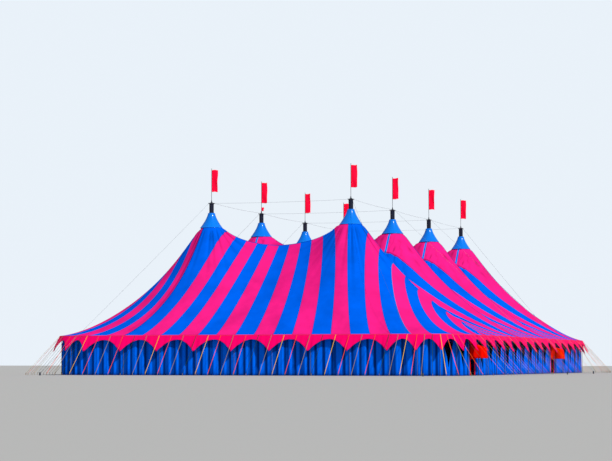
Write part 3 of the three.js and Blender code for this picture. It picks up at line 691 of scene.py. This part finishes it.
# %% Points of the valance
LEFT_CORNER_TIPS = (-14.4, -13.4, -12.4, -11.4, -10.5, -9.6)
FRONT_TIPS = tuple(-8.56 + 2 * i for i in range(9))
RIGHT_CORNER_TIPS = (8.8, 9.9, 10.8, 12)
SIDE_TIP = 13.8
SIDE_ARCHES = 13
EDGE_JOINTS = (-10.5, 10.8)
VALANCE_CROWN_Z = 4.6 * METRE
VALANCE_TIP_Z = 3.05 * METRE
VALANCE_FLARE = 0.54
VALANCE_CLOTH = 0.015 * METRE

side_arch = (HALF_ROUND + LEFT_CORNER_TIPS[0] - SIDE_TIP) / SIDE_ARCHES
side_tips = tuple(SIDE_TIP + side_arch * i for i in range(SIDE_ARCHES))
half_tips = np.array(LEFT_CORNER_TIPS + FRONT_TIPS + RIGHT_CORNER_TIPS + side_tips)
TIPS = np.concatenate([half_tips, half_tips + HALF_ROUND])
EDGES = {
    "front": (EDGE_JOINTS[0], EDGE_JOINTS[1]),
    "right": (EDGE_JOINTS[1], EDGE_JOINTS[0] + HALF_ROUND),
    "back": (EDGE_JOINTS[0] + HALF_ROUND, EDGE_JOINTS[1] + HALF_ROUND),
    "left": (EDGE_JOINTS[1] + HALF_ROUND, EDGE_JOINTS[0] + STRIPES_ROUND),
}
ALL_TIPS = np.concatenate([TIPS - STRIPES_ROUND, TIPS, TIPS + STRIPES_ROUND])


def arch_phase(count):
    """How far a stripe count is from one point of the valance, 0, to the next, 1, and the arch's width."""
    place = np.searchsorted(ALL_TIPS, count, side="right") - 1
    start, end = ALL_TIPS[place], ALL_TIPS[place + 1]
    return (count - start) / (end - start), end - start


def tips_between(low, high):
    """The points of the valance from one stripe count to another."""
    return ALL_TIPS[(ALL_TIPS > low) & (ALL_TIPS < high)]


print(len(TIPS), "points around the valance")


# %% Valance cloth
def build_valance_cloth():
    """Deep pink, darker by the hem, with the stitches of the hem as a line of height."""
    material, tree, shader = new_material("valance_cloth", Specular_IOR_Level=0.01)
    drop = value_of(tree, "drop")
    hem = ranged(tree, drop, 0.93, 0.95)
    base = blend_colours(tree, maths(tree, "MULTIPLY", hem, 0.35), colour(255, 4, 108), colour(205, 0, 84))
    finish_cloth(tree, shader, base, amount=0.22, patch=5.0, roughness=0.45, height=hem, bump=0.2)
    return material


VALANCE_CLOTH_FINISH = build_valance_cloth()


def valance(edge, low, high):
    """Rows from the scalloped edge up to the eave. The edge is tip + (crown - tip) * (1 - (2 phase - 1)^2).

    Folds are sines of the stripe count. They are deepest at the points and die out towards the eave.
    """
    arches = len(tips_between(low, high)) + 1
    count = np.linspace(low + 0.002, high - 0.002, arches * 30 + 1)
    phase, _ = arch_phase(count)
    across = 2 * phase - 1
    edge_z = VALANCE_TIP_Z + (VALANCE_CROWN_Z - VALANCE_TIP_Z) * (1 - across**2)
    rise = np.linspace(0, 1, 13)[:, None]
    z = edge_z + (EAVE_Z - edge_z) * rise
    near_tip = np.abs(across) ** 3
    folds = np.sin(count * 21.0) + 0.6 * np.sin(count * 13.7 + 1.0) + 0.5 * np.sin(count * 47.0 + 2.0)
    offset = VALANCE_FLARE * (EAVE_Z - z) + (0.015 + 0.05 * near_tip) * METRE * folds * (1 - rise)
    points = beside(np.broadcast_to(count, z.shape), offset, z)
    drop = np.broadcast_to(1 - rise, z.shape)
    make_sheet(
        f"valance_{edge}_cloth", points, "valance", [f"valance_{edge}"], VALANCE_CLOTH_FINISH, VALANCE_CLOTH,
        values={"drop": drop},
    )


for edge, (low, high) in EDGES.items():
    valance(edge, low, high)

# %% [markdown]
# ## Wall curtains
# Blue curtains hang just inside the side poles. They are full, so they fall in folds. At the front they
# reach the roof. Along the sides they are hooked up at the poles only, and sag open between them in dark
# gaps.

# %% Curtain cloth
WALL_INSET = 0.2 * METRE
WALL_CORNER = 10.75
CORNER_DOOR = 12.8
SIDE_DOOR = 32.8
DOOR_HALF = 1.3 * METRE
DOOR_Z = 2.3 * METRE
WALL_BOTTOM = 0.02 * METRE
WALL_TOP = 5.0 * METRE
GAP_BOTTOM = 1.0 * METRE
GAP_HALF = 2.0 * METRE
FIRST_GAP = 9.9  # along one half of the tent the curtains sag open from here
LAST_GAP = 43.5
CURTAIN_STRIPE = 2.4 * METRE  # a stripe's width along the wall
CURTAIN = 0.015 * METRE


def build_curtain_cloth():
    """Bright blue, with painted shade that turns it nearly black in the hollows of the folds, and dirt near
    the ground.
    """
    material, tree, shader = new_material("curtain_cloth", Specular_IOR_Level=0.0)
    low = ranged(tree, value_of(tree, "height"), 0.0, 0.09, 0.45, 0.0)
    # painted shade: the hollows of the folds are painted nearly black
    fold_shade = ranged(tree, value_of(tree, "fold"), -0.9, 0.3, 0.8, 0.0)
    shaded = blend_colours(tree, fold_shade, colour(0, 108, 255), colour(0, 10, 70))
    base = blend_colours(tree, low, shaded, colour(14, 50, 120))
    finish_cloth(tree, shader, base, amount=0.25, patch=4.0, roughness=0.6, bump=0.15)
    return material


CURTAIN_CLOTH = build_curtain_cloth()


def curtain(name, low, high):
    """Folded cloth along the wall line: rows go up from the ground to a top edge that may drop into gaps.

    folds = sum of sines of the length along the wall, deeper towards the ground. Between two poles the top
    edge is GAP_BOTTOM + (top - GAP_BOTTOM) * (distance from the middle / GAP_HALF) ^ 0.75.
    """
    count = np.linspace(low + 0.004, high - 0.004, int((high - low) * 44) + 2)
    height = np.linspace(0, 1, 16)[:, None]
    phase, width = arch_phase(count)
    reach = np.minimum(GAP_HALF, 0.45 * width * CURTAIN_STRIPE)
    share = np.abs(phase - 0.5) * width * CURTAIN_STRIPE / reach
    bottom = GAP_BOTTOM + 0.35 * METRE * np.sin(2.4 * np.floor(count / 1.985))
    sagged = bottom + (WALL_TOP - bottom) * share**0.75
    on_half = count % HALF_ROUND
    opened = (on_half > FIRST_GAP) & (on_half < LAST_GAP)
    top = np.where(opened, np.minimum(sagged, WALL_TOP), WALL_TOP)
    z = WALL_BOTTOM + (top - WALL_BOTTOM) * height
    lean = count * CURTAIN_STRIPE / METRE
    fold = np.sin(lean * 6.1 + 1.7 * np.sin(lean * 0.83))
    fold = fold + 0.4 * np.sin(lean * 13.3 + 2 * np.sin(lean * 0.31))
    depth = 0.07 * METRE * (1.25 - 0.7 * z / WALL_TOP)
    points = beside(np.broadcast_to(count, z.shape), -WALL_INSET - 0.1 * METRE + depth * fold, z)
    folds = np.broadcast_to(fold, z.shape)
    make_sheet(
        name + "_curtain", points, "wall", [name], CURTAIN_CLOTH, CURTAIN,
        values={"height": z, "fold": folds},
    )


def door_width(at):
    """Half of a door's width in stripes."""
    place, _, _ = eave_frame(np.array([at - 0.25, at + 0.25]))
    return DOOR_HALF / (2 * float(np.linalg.norm(place[1] - place[0])))


corner_half, side_half = door_width(CORNER_DOOR), door_width(SIDE_DOOR)
HALF_WALLS = (
    (-WALL_CORNER, WALL_CORNER),
    (WALL_CORNER, CORNER_DOOR - corner_half),
    (CORNER_DOOR + corner_half, SIDE_DOOR - side_half),
    (SIDE_DOOR + side_half, HALF_ROUND - WALL_CORNER),
)
WALL_NAMES = (
    ("wall_front", "wall_right_corner", "wall_right_middle", "wall_right_rear"),
    ("wall_back", "wall_left_rear", "wall_left_middle", "wall_left_corner"),
)
for turn, names in enumerate(WALL_NAMES):
    for name, (low, high) in zip(names, HALF_WALLS):
        curtain(name, low + turn * HALF_ROUND, high + turn * HALF_ROUND)

# %% [markdown]
# ## Door canopies
# Each door has a red hood on two posts. It slopes down from the wall and has a skirt on three sides that
# ends just over head height. Behind it, drapes are tied back in the doorway.

# %% Canopy shapes
CANOPY_OUT = 1.45 * METRE
CANOPY_FLARE = 0.12 * METRE
CANOPY_WALL_Z = 4.0 * METRE
CANOPY_EDGE_Z = 3.6 * METRE
CANOPY_LOW_Z = 2.2 * METRE
POST_HALF = 0.025 * METRE
POST_IN = 0.05 * METRE
DRAPE_OPEN = 0.66  # share of the door between the drapes


def build_canopy_cloth():
    """Bright red cloth."""
    material, tree, shader = new_material("canopy_cloth", Specular_IOR_Level=0.0)
    finish_cloth(tree, shader, colour(252, 16, 2), amount=0.25, patch=7.0, roughness=0.6, bump=0.15)
    return material


CANOPY_CLOTH = build_canopy_cloth()
DOORS = (
    ("right_front", CORNER_DOOR),
    ("right_back", SIDE_DOOR),
    ("left_back", CORNER_DOOR + HALF_ROUND),
    ("left_front", SIDE_DOOR + HALF_ROUND),
)


def door_place(at):
    """Middle of a door on the wall line, with the directions outwards and along."""
    place, outward, along = eave_frame(np.array([at]))
    return place[0] - outward[0] * WALL_INSET, outward[0], along[0]


def canopy(at, split):
    """A hood as one sheet: around the skirt's outline the height goes from the low edge to the sloping top.

    The outline runs out along one cheek, across the front and back along the other. Each column goes
    from the skirt's lower edge, up to the rim and inwards over the top to the middle line. A split hood has
    a slit in one cheek, as a way in.
    """
    middle, outward, along = door_place(at)
    corners = np.array([[0.003 * METRE, -1], [CANOPY_OUT, -1], [CANOPY_OUT, 1], [0.003 * METRE, 1]])
    corners[:, 1] *= DOOR_HALF
    share = np.linspace(0, 3, 121)
    leg = np.minimum(share.astype(int), 2)
    part = (share - leg)[:, None]
    rim = corners[leg] * (1 - part) + corners[leg + 1] * part
    splay = np.array([[0, -1], [1, -1], [1, 1], [0, 1]])
    splay = splay[leg] * (1 - part) + splay[leg + 1] * part
    top = CANOPY_WALL_Z + (CANOPY_EDGE_Z - CANOPY_WALL_Z) * rim[:, 0] / CANOPY_OUT
    rows = []
    for down in np.linspace(1, 0, 12):
        ripple = 0.03 * METRE * np.sin(share * 17 + 1.5 * np.sin(share * 5))
        flat = rim + splay * down * (CANOPY_FLARE + ripple)[:, None]
        rows.append(np.column_stack([flat, CANOPY_LOW_Z * down + top * (1 - down)]))
    bulge = np.sin(math.pi * np.clip(rim[:, 0] / CANOPY_OUT, 0, 1))
    for inwards in np.linspace(0, 1, 9)[1:]:
        sag = 0.08 * METRE * math.sin(math.pi * inwards / 2) * bulge
        rows.append(np.column_stack([rim * [1, 1 - inwards], top - sag]))
    local = np.stack(rows)
    plan = middle + local[..., :1] * outward + local[..., 1:2] * along
    keep = np.ones((len(local) - 1, local.shape[1] - 1), bool)
    if split:
        row = np.arange(len(local) - 1)[:, None]
        from_slit = np.abs(share[:-1] + 0.0125 - 0.5)
        keep = ~((from_slit < 0.18 * (1 - row / 11)) & (row < 11))
    return np.concatenate([plan, local[..., 2:]], -1), keep


def doorway(at):
    """Drapes on both sides of the door and a pelmet over it, as one sheet with the doorway left out."""
    middle, outward, along = door_place(at)
    across = np.linspace(-1, 1, 61)
    height = np.linspace(WALL_BOTTOM, WALL_TOP, 25)
    shape = (len(height), len(across))
    wave = 0.02 * METRE * np.sin(across * 30) - 0.04 * METRE
    plan = middle + wave[:, None] * outward + (across * DOOR_HALF * 0.995)[:, None] * along
    upright = np.broadcast_to(height[:, None, None], shape + (1,))
    points = np.concatenate([np.broadcast_to(plan, shape + (2,)), upright], -1)
    in_door = (np.abs(across[:-1] + 1 / 60) < DRAPE_OPEN) & (height[1:, None] < DOOR_Z)
    return points, ~in_door


for label, at in DOORS:
    name = f"door_canopy_{label}"
    hood, keep = canopy(at, at % HALF_ROUND == SIDE_DOOR)
    make_sheet(name + "_hood", hood, "drape", [name], CANOPY_CLOTH, CURTAIN, keep=keep)
    drapes, keep = doorway(at)
    make_sheet(name + "_drapes", drapes, "drape", [name], CANOPY_CLOTH, CURTAIN, keep=keep)

# %% [markdown]
# ## Masts, caps and flags
# Each king pole carries a dark head with a thin flag pole. A glossy blue cap sits on the cloth around the
# pole and flares to its rim. The flags hang long and narrow from their poles and ripple a little.

# %% Hard finishes
def build_paint(name, base, roughness, metallic=0.0, coat=0.0, amount=0.25, patch=8.0, shine=0.5):
    """Painted or bare metal with worn patches that change colour and roughness."""
    material, tree, shader = new_material(
        name, Metallic=metallic, Coat_Weight=coat, Coat_Roughness=0.12, Specular_IOR_Level=shine
    )
    worn = wear(tree, shader, base, amount, patch, roughness)
    add_relief(tree, shader, worn.outputs["Mask"], 0.12, 0.001)
    return material


MAST_PAINT = build_paint("mast_paint", colour(14, 24, 52), 0.45, metallic=0.3)
CAP_GLOSS = build_paint("cap_gloss", colour(0, 122, 236), 0.3, coat=0.3, amount=0.12, shine=0.05)
CABLE_STEEL = build_paint("cable_steel", colour(92, 98, 108), 0.4, metallic=0.8)
POLE_STEEL = build_paint("pole_steel", colour(92, 98, 112), 0.45, metallic=0.6)

MAST_R = 0.2 * METRE
MAST_FOOT_R = 0.6 * METRE
MAST_FOOT = 0.06 * METRE
HEAD_R = 0.32 * METRE
HEAD_FOOT_Z = 22 * METRE
HEAD_TOP_Z = 23.25 * METRE
SOCKET_R = 0.07 * METRE
SOCKET_Z = 23.7 * METRE
FLAG_POLE_R = 0.03 * METRE
FLAG_POLE_Z = 28.1 * METRE


def king_pole(name, x, y):
    """A turned pole on a foot plate, a head with eight ribs and rims, a socket and the flag pole."""
    foot, top, truck = HEAD_FOOT_Z, HEAD_TOP_Z, FLAG_POLE_R * 1.9
    groove = HEAD_R * 0.9
    profile = [
        (0.01 * METRE, 0), (MAST_FOOT_R, 0), (MAST_FOOT_R, MAST_FOOT), (MAST_R, MAST_FOOT), (MAST_R, foot),
        (HEAD_R * 0.98, foot), (HEAD_R, foot + 0.05 * METRE), (HEAD_R, foot + 0.14 * METRE),
        (groove, foot + 0.17 * METRE), (groove, top - 0.17 * METRE), (HEAD_R, top - 0.14 * METRE),
        (HEAD_R, top - 0.03 * METRE), (HEAD_R * 0.95, top), (SOCKET_R, top), (SOCKET_R, SOCKET_Z),
        (FLAG_POLE_R, SOCKET_Z + 0.03 * METRE), (FLAG_POLE_R, FLAG_POLE_Z - 0.04 * METRE),
        (truck, FLAG_POLE_Z - 0.03 * METRE), (truck, FLAG_POLE_Z - 0.01 * METRE), (FLAG_POLE_R, FLAG_POLE_Z),
    ]
    pole = turned(profile, 32, x, y)
    turn = np.arange(8) / 8 * 2 * math.pi
    ribs = np.stack([x + HEAD_R * 0.93 * np.cos(turn), y + HEAD_R * 0.93 * np.sin(turn), 0 * turn], -1)
    low, high = HEAD_FOOT_Z + 0.1 * METRE, HEAD_TOP_Z - 0.1 * METRE
    rib = bars(ribs + [0, 0, low], ribs + [0, 0, high], 0.03 * METRE, 6)
    piece = make_piece(name + "_mast", *joined(pole, rib), "mast", [name])
    paint(piece, MAST_PAINT, 40)


# %% Caps
CAP_TOP_R = 0.48 * METRE
CAP_LOW_Z = 19.98 * METRE
CAP_LOW_R = 1.53 * METRE
CAP_SHELL = 0.03 * METRE


def mast_cap(name, x, y):
    """Radius = top + (rim - top) * drop ^ 1.45, pressed in between twelve gores, with a rolled rim."""
    sides = 96
    drop = np.linspace(0, 1, 26)[:, None]
    angle = np.linspace(0, 2 * math.pi, sides, endpoint=False)
    radius = CAP_TOP_R + (CAP_LOW_R - CAP_TOP_R) * drop**1.45
    gore = 1 - 0.012 * (1 - np.abs(np.cos(6 * angle))) * drop
    radius = radius * gore
    top_z = HEAD_FOOT_Z - 0.01 * METRE
    z = top_z - (top_z - CAP_LOW_Z) * drop + 0 * angle
    rim = np.linspace(0, math.pi, 6)[1:, None]
    roll = 0.03 * METRE
    rim_r = radius[-1] + roll * np.sin(rim)
    rim_z = CAP_LOW_Z - roll * (1 - np.cos(rim))
    radius = np.concatenate([radius, rim_r])
    z = np.concatenate([z, rim_z + 0 * angle])
    inner = np.array([MAST_R + 0.004 * METRE, CAP_TOP_R - 0.05 * METRE, CAP_TOP_R - 0.01 * METRE])
    collar = inner[:, None] + 0 * angle
    radius = np.concatenate([collar, radius])
    z = np.concatenate([np.full_like(collar, HEAD_FOOT_Z - 0.006 * METRE), z])
    points = np.stack([x + radius * np.cos(angle), y + radius * np.sin(angle), z], -1)
    faces = grid_faces(len(points), sides, closed=True)[:, ::-1]
    piece = make_piece(name + "_shell", points, [faces], "cap", [name])
    piece.data.materials.append(CAP_GLOSS)
    thicken(piece, CAP_SHELL)


# %% Flags
FLAG_WIDTH = 0.9 * METRE
FLAG_BOTTOM_Z = 24.9 * METRE
FLAG_TOP_Z = 27.9 * METRE
FLAG_CLOTH = 0.006 * METRE


def build_flag_cloth():
    """Thin red cloth with a painted glow: a weak red emission over the whole flag stands in for sun shining
    through it.
    """
    red = colour(255, 4, 56)
    # painted glow: the emission lights the flag a little everywhere, in shade too
    material, tree, shader = new_material(
        "flag_cloth", Specular_IOR_Level=0.08, Emission_Color=red, Emission_Strength=0.3
    )
    finish_cloth(tree, shader, red, amount=0.15, patch=20.0, roughness=0.6, threads=1500.0, bump=0.1)
    return material


FLAG_CLOTH_FINISH = build_flag_cloth()


def flag_cloth(name, x, y, turn, width, low, high, replaces):
    """A strip held along its pole: waves across it grow with the distance from the pole."""
    across = np.linspace(0, 1, 19)
    height = np.linspace(0, 1, 49)[:, None]
    slow, quick = np.sin(3.4 * across + 5.2 * height + turn), np.sin(11 * height + turn)
    sway = across * (0.11 * slow + 0.03 * quick)
    px = x + FLAG_POLE_R + 0.005 * METRE + across * width * (0.95 + 0.03 * np.sin(4 * height + turn))
    pz = low + (high - low) * height + 0.05 * METRE * across * np.sin(6 * across + turn)
    points = np.stack([px, y + sway * METRE, pz + 0 * px], -1)
    make_sheet(name, points, "flag", replaces, FLAG_CLOTH_FINISH, FLAG_CLOTH)


for side, pair, x, y in MASTS:
    label = f"{ROW_NAMES[side]}_{pair + 1}"
    pole = f"king_pole_{label}"
    king_pole(pole, x, y)
    mast_cap(f"mast_cap_{label}", x, y)
    turn = 1.7 * pair + side
    flag = f"flag_{label}"
    flag_cloth(flag + "_cloth", x, y, turn, FLAG_WIDTH, FLAG_BOTTOM_Z, FLAG_TOP_Z, [flag])
    if label == "left_2":
        flag_cloth("flag_tail_left_2", x, y, 1, 0.35 * METRE, 23.75 * METRE, 24.3 * METRE, [])

# %% [markdown]
# ## Cables
# Steel cables tie the heads of each pair together, run along each row, and stay the masts to anchors in the
# ground. They are pulled tight, so they are straight but for a slight sag.

# %% Stays and head cables
CABLE_R = 0.011 * METRE
PLATE_HALF = HEAD_R + 0.04 * METRE
HOOK_IN = 0.03 * METRE
PLATE = 0.14 * METRE
COLLAR_HALF = 0.13 * METRE
COLLAR = 0.08 * METRE
SEAT = 0.003 * METRE
STAY_OUT_SIDE = 6.8 * METRE
STAY_OUT_END = 6.8 * METRE
STAY_CORNER_X = 25.5 * METRE
ANCHOR_HALF = 0.08 * METRE
ANCHOR_Z = 0.4 * METRE
LOW_COLLAR_Z = HEAD_TOP_Z + SEAT
HIGH_COLLAR_Z = LOW_COLLAR_Z + PLATE + SEAT


def sagging(starts, ends, sag, steps=9):
    """Paths from each start to its end, hanging by sag * 4 * share * (1 - share)."""
    share = np.linspace(0, 1, steps)[:, None]
    starts, ends = np.asarray(starts, float)[:, None], np.asarray(ends, float)[:, None]
    paths = starts + (ends - starts) * share
    paths[..., 2] -= sag * 4 * share[:, 0] * (1 - share[:, 0])
    return paths


for pair in range(MAST_PAIRS):
    y = -LAST_PAIR + pair * BAY
    z = LOW_COLLAR_Z + PLATE / 2
    spots = np.array([[-MAST_ROW, y], [MAST_ROW, y]])
    sides = np.array([-1, 1])
    at_end = pair in (0, MAST_PAIRS - 1)
    anchor_x = sides * (STAY_CORNER_X if at_end else SIDE_EAVE + STAY_OUT_SIDE)
    anchor_y = np.full(2, math.copysign(LAST_PAIR + END_EAVE + STAY_OUT_END, y) if at_end else y)
    anchors = np.column_stack([anchor_x, anchor_y])
    away = anchors - spots
    away *= (PLATE_HALF - HOOK_IN) / np.abs(away).max(1, keepdims=True)
    starts = np.column_stack([spots + away, [z, z]])
    ends = np.column_stack([anchors, [ANCHOR_Z - ANCHOR_HALF] * 2])
    cross_start = np.array([[-MAST_ROW + PLATE_HALF - HOOK_IN, y, z]])
    cross_end = cross_start * [-1, 1, 1]
    parts = [
        tubes(sagging(starts, ends, 0.12 * METRE), CABLE_R),
        tubes(sagging(cross_start, cross_end, 0.1 * METRE), CABLE_R),
        boxes(spots, PLATE_HALF, LOW_COLLAR_Z + 0.03 * METRE, LOW_COLLAR_Z + PLATE - 0.02 * METRE),
        boxes(anchors, ANCHOR_HALF, 0, ANCHOR_Z),
    ]
    name = f"stay_cables_{pair + 1}"
    piece = make_piece(name + "_steel", *joined(*parts), "cable", [name])
    paint(piece, CABLE_STEEL)

for side in (-1, 1):
    z = HIGH_COLLAR_Z + COLLAR / 2
    spots = np.array([[x, y] for mast_side, _, x, y in MASTS if mast_side == side])
    starts = np.column_stack([spots[:-1] + [0, COLLAR_HALF - HOOK_IN], [z] * 3])
    ends = np.column_stack([spots[1:] - [0, COLLAR_HALF - HOOK_IN], [z] * 3])
    parts = [
        tubes(sagging(starts, ends, 0.15 * METRE), CABLE_R),
        boxes(spots, COLLAR_HALF, HIGH_COLLAR_Z + 0.01 * METRE, HIGH_COLLAR_Z + COLLAR),
    ]
    name = f"head_cables_{ROW_NAMES[side]}"
    piece = make_piece(name + "_steel", *joined(*parts), "cable", [name])
    paint(piece, CABLE_STEEL)
print("cables on", len(MASTS), "masts")

# %% [markdown]
# ## Side poles and guy straps
# A steel pole stands under each point of the valance, and the curtains' cord runs from pole to pole.
# Outside, webbing is sewn around the eave. A flat strap pulls each point down to a stake, with more straps
# between them.

# %% Side poles
POLE_IN = 0.1 * METRE
POLE_R = 0.038 * METRE
RAIL_Z = 4.95 * METRE
RAIL_R = 0.02 * METRE
JOINT_SHIFT = 0.45


def side_poles(name, low, high):
    """Round poles from the ground to the cloth at the points, a foot plate each, and the cord between."""
    at = tips_between(low, high)
    feet = beside(at, np.full(at.shape, -POLE_IN), 0.0)
    heads = feet + [0, 0, EAVE_Z - 0.03 * METRE]
    around = np.arange(low, high, 0.1)
    cord = beside(around, np.full(around.shape, -POLE_IN), RAIL_Z)[None]
    plates = boxes(feet, 0.09 * METRE, 0, 0.02 * METRE)
    parts = bars(feet, heads, POLE_R, 12), tubes(cord, RAIL_R, 6), plates
    piece = make_piece(name + "_steel", *joined(*parts), "pole", [name])
    paint(piece, POLE_STEEL)


# %% Guy straps
WEBBING_LOW = EAVE_Z - 0.12 * METRE
GUY_OUT = 4.5 * METRE
GUY_TOP_Z = EAVE_Z - 0.06 * METRE
STAKE_HOOK_Z = 0.22 * METRE
STAKE_Z = 0.3 * METRE
STRAP_HALF = 0.03 * METRE
STRAP_THICK = 0.008 * METRE


def build_strap_webbing():
    """Woven straps of four colours, picked by the strap's own number, with fine ribs along them."""
    material, tree, shader = new_material("strap_webbing", Specular_IOR_Level=0.3)
    kind = value_of(tree, "kind")
    orange, yellow, green = colour(255, 80, 0), colour(250, 190, 0), colour(8, 56, 44)
    colours = [orange, yellow, green, colour(150, 128, 104), colour(245, 14, 100)]
    base = colours[0]
    for step, other in enumerate(colours[1:]):
        base = blend_colours(tree, maths(tree, "GREATER_THAN", kind, step + 0.5), base, other)
    finish_cloth(tree, shader, base, amount=0.25, patch=6.0, roughness=0.75, threads=2400.0, bump=0.25)
    return material


STRAP_WEBBING = build_strap_webbing()
STRAP_KINDS = np.array([0, 3, 2, 1, 0, 3, 0, 2, 3, 1])


def straps(tops, feet, along):
    """Flat straps: a rectangle carried from each top to its foot, wide along the eave."""
    wide = along * STRAP_HALF
    ahead = feet - tops
    over = np.cross(ahead / np.linalg.norm(ahead, axis=1, keepdims=True), along) * STRAP_THICK / 2
    corners = [wide + over, wide - over, -wide - over, -wide + over]
    points = np.stack([np.stack([end + corner for corner in corners], 1) for end in (tops, feet)], 1)
    start = np.arange(len(tops))[:, None, None] * 8
    return points.reshape(-1, 3), (start + BOX_FACES[:, ::-1]).reshape(-1, 4)


def guy_straps(name, low, high):
    """Webbing around the eave, a strap and stake at each point and two lighter straps between neighbours."""
    at = tips_between(low, high)
    ends = np.append(at, tips_between(high, high + 2.5)[:1])
    gaps = np.diff(ends)[:, None]
    at_all = np.sort(np.concatenate([at, (ends[:-1, None] + gaps * [0.33, 0.66]).ravel()]))
    at_all = at_all[(at_all > low) & (at_all < high)]
    _, _, along = eave_frame(at_all)
    along = np.column_stack([along, np.zeros(len(along))])
    tops = beside(at_all, np.full(at_all.shape, 0.06 * METRE), GUY_TOP_Z)
    feet = beside(at_all, np.full(at_all.shape, GUY_OUT), STAKE_HOOK_Z)
    kinds = STRAP_KINDS[np.arange(len(at_all)) % len(STRAP_KINDS)]
    around = np.minimum(np.arange(low, high + 0.05, 0.1), high)
    heights = np.array([WEBBING_LOW, EAVE_Z - 0.004 * METRE])[:, None]
    shape = (2, len(around))
    faces_at = VALANCE_FLARE * (EAVE_Z - heights) + np.array([0.02, 0.005])[:, None, None] * METRE
    outer, inner = (
        beside(around, np.broadcast_to(out, shape), np.broadcast_to(heights, shape)) for out in faces_at
    )
    ring = np.stack([outer[0], outer[1], inner[1], inner[0]], 1)
    webbing = ring.reshape(-1, 3), grid_faces(len(around), 4, closed=True)[:, ::-1]
    strap = straps(tops, feet, along)
    stakes = bars(feet * [1, 1, 0], feet * [1, 1, 0] + [0, 0, STAKE_Z], 0.025 * METRE, 8)
    points, faces = joined(webbing, strap, stakes)
    kind = np.concatenate([np.full(len(ring) * 4, 4), np.repeat(kinds, 8), np.full(len(stakes[0]), 3)])
    piece = make_piece(name + "_webbing", points, faces, "guy", [name], values={"kind": kind})
    paint(piece, STRAP_WEBBING, 40)
    return len(at_all)


total = 0
for edge, (low, high) in EDGES.items():
    side_poles(f"side_poles_{edge}", low + JOINT_SHIFT, high + JOINT_SHIFT - 0.01)
    total += guy_straps(f"guy_straps_{edge}", low + JOINT_SHIFT, high + JOINT_SHIFT - 0.01)
print(total, "guy straps")

# %% [markdown]
# ## Canopy posts
# The two posts of each door canopy stand under its outer corners.

# %% Posts
for label, at in DOORS:
    middle, outward, along = door_place(at)
    front = middle + outward * (CANOPY_OUT - POST_IN)
    feet = np.array([[*(front + s * along * (DOOR_HALF - POST_IN)), 0] for s in (-1, 1)])
    poles = bars(feet, feet + [0, 0, CANOPY_EDGE_Z - 0.02 * METRE], POST_HALF, 10)
    post = make_piece(f"canopy_posts_{label}", *joined(poles), "pole")
    post.data.materials.append(POLE_STEEL)

# %% [markdown]
# ## Floor and light
# A plain pale floor, a sun from the front right like the one in the picture, and a soft pale sky.

# %% Stage
floor_mesh = bpy.data.meshes.new("floor")
FLOOR = 60
floor_corners = [(-FLOOR, -FLOOR, 0), (FLOOR, -FLOOR, 0), (FLOOR, FLOOR, 0), (-FLOOR, FLOOR, 0)]
floor_mesh.from_pydata(floor_corners, [], [(0, 1, 2, 3)])
floor = bpy.data.objects.new("floor", floor_mesh)
bpy.context.scene.collection.objects.link(floor)
floor_material, _, floor_shader = new_material("floor", Roughness=0.9)
floor_shader.inputs["Base Color"].default_value = (0.5, 0.5, 0.5, 1)
floor_mesh.materials.append(floor_material)

TO_SUN = Vector((0.62, -0.42, 0.66))
sun_data = bpy.data.lights.new("sun", "SUN")
sun_data.energy = 3.2
sun_data.angle = math.radians(4)
sun_data.color = (1.0, 0.97, 0.92)
sun = bpy.data.objects.new("sun", sun_data)
sun.rotation_euler = TO_SUN.to_track_quat("Z", "Y").to_euler()
bpy.context.scene.collection.objects.link(sun)

world = bpy.data.worlds.new("sky")
world.use_nodes = True
sky = world.node_tree
background = sky.nodes["Background"]
background.inputs["Color"].default_value = (0.86, 0.93, 1.0, 1)
seen = node(sky, "ShaderNodeLightPath").outputs["Is Camera Ray"]
sky.links.new(ranged(sky, seen, 0.0, 1.0, 0.33, 0.95), background.inputs["Strength"])
bpy.context.scene.world = world
bpy.context.scene.view_settings.view_transform = "Standard"
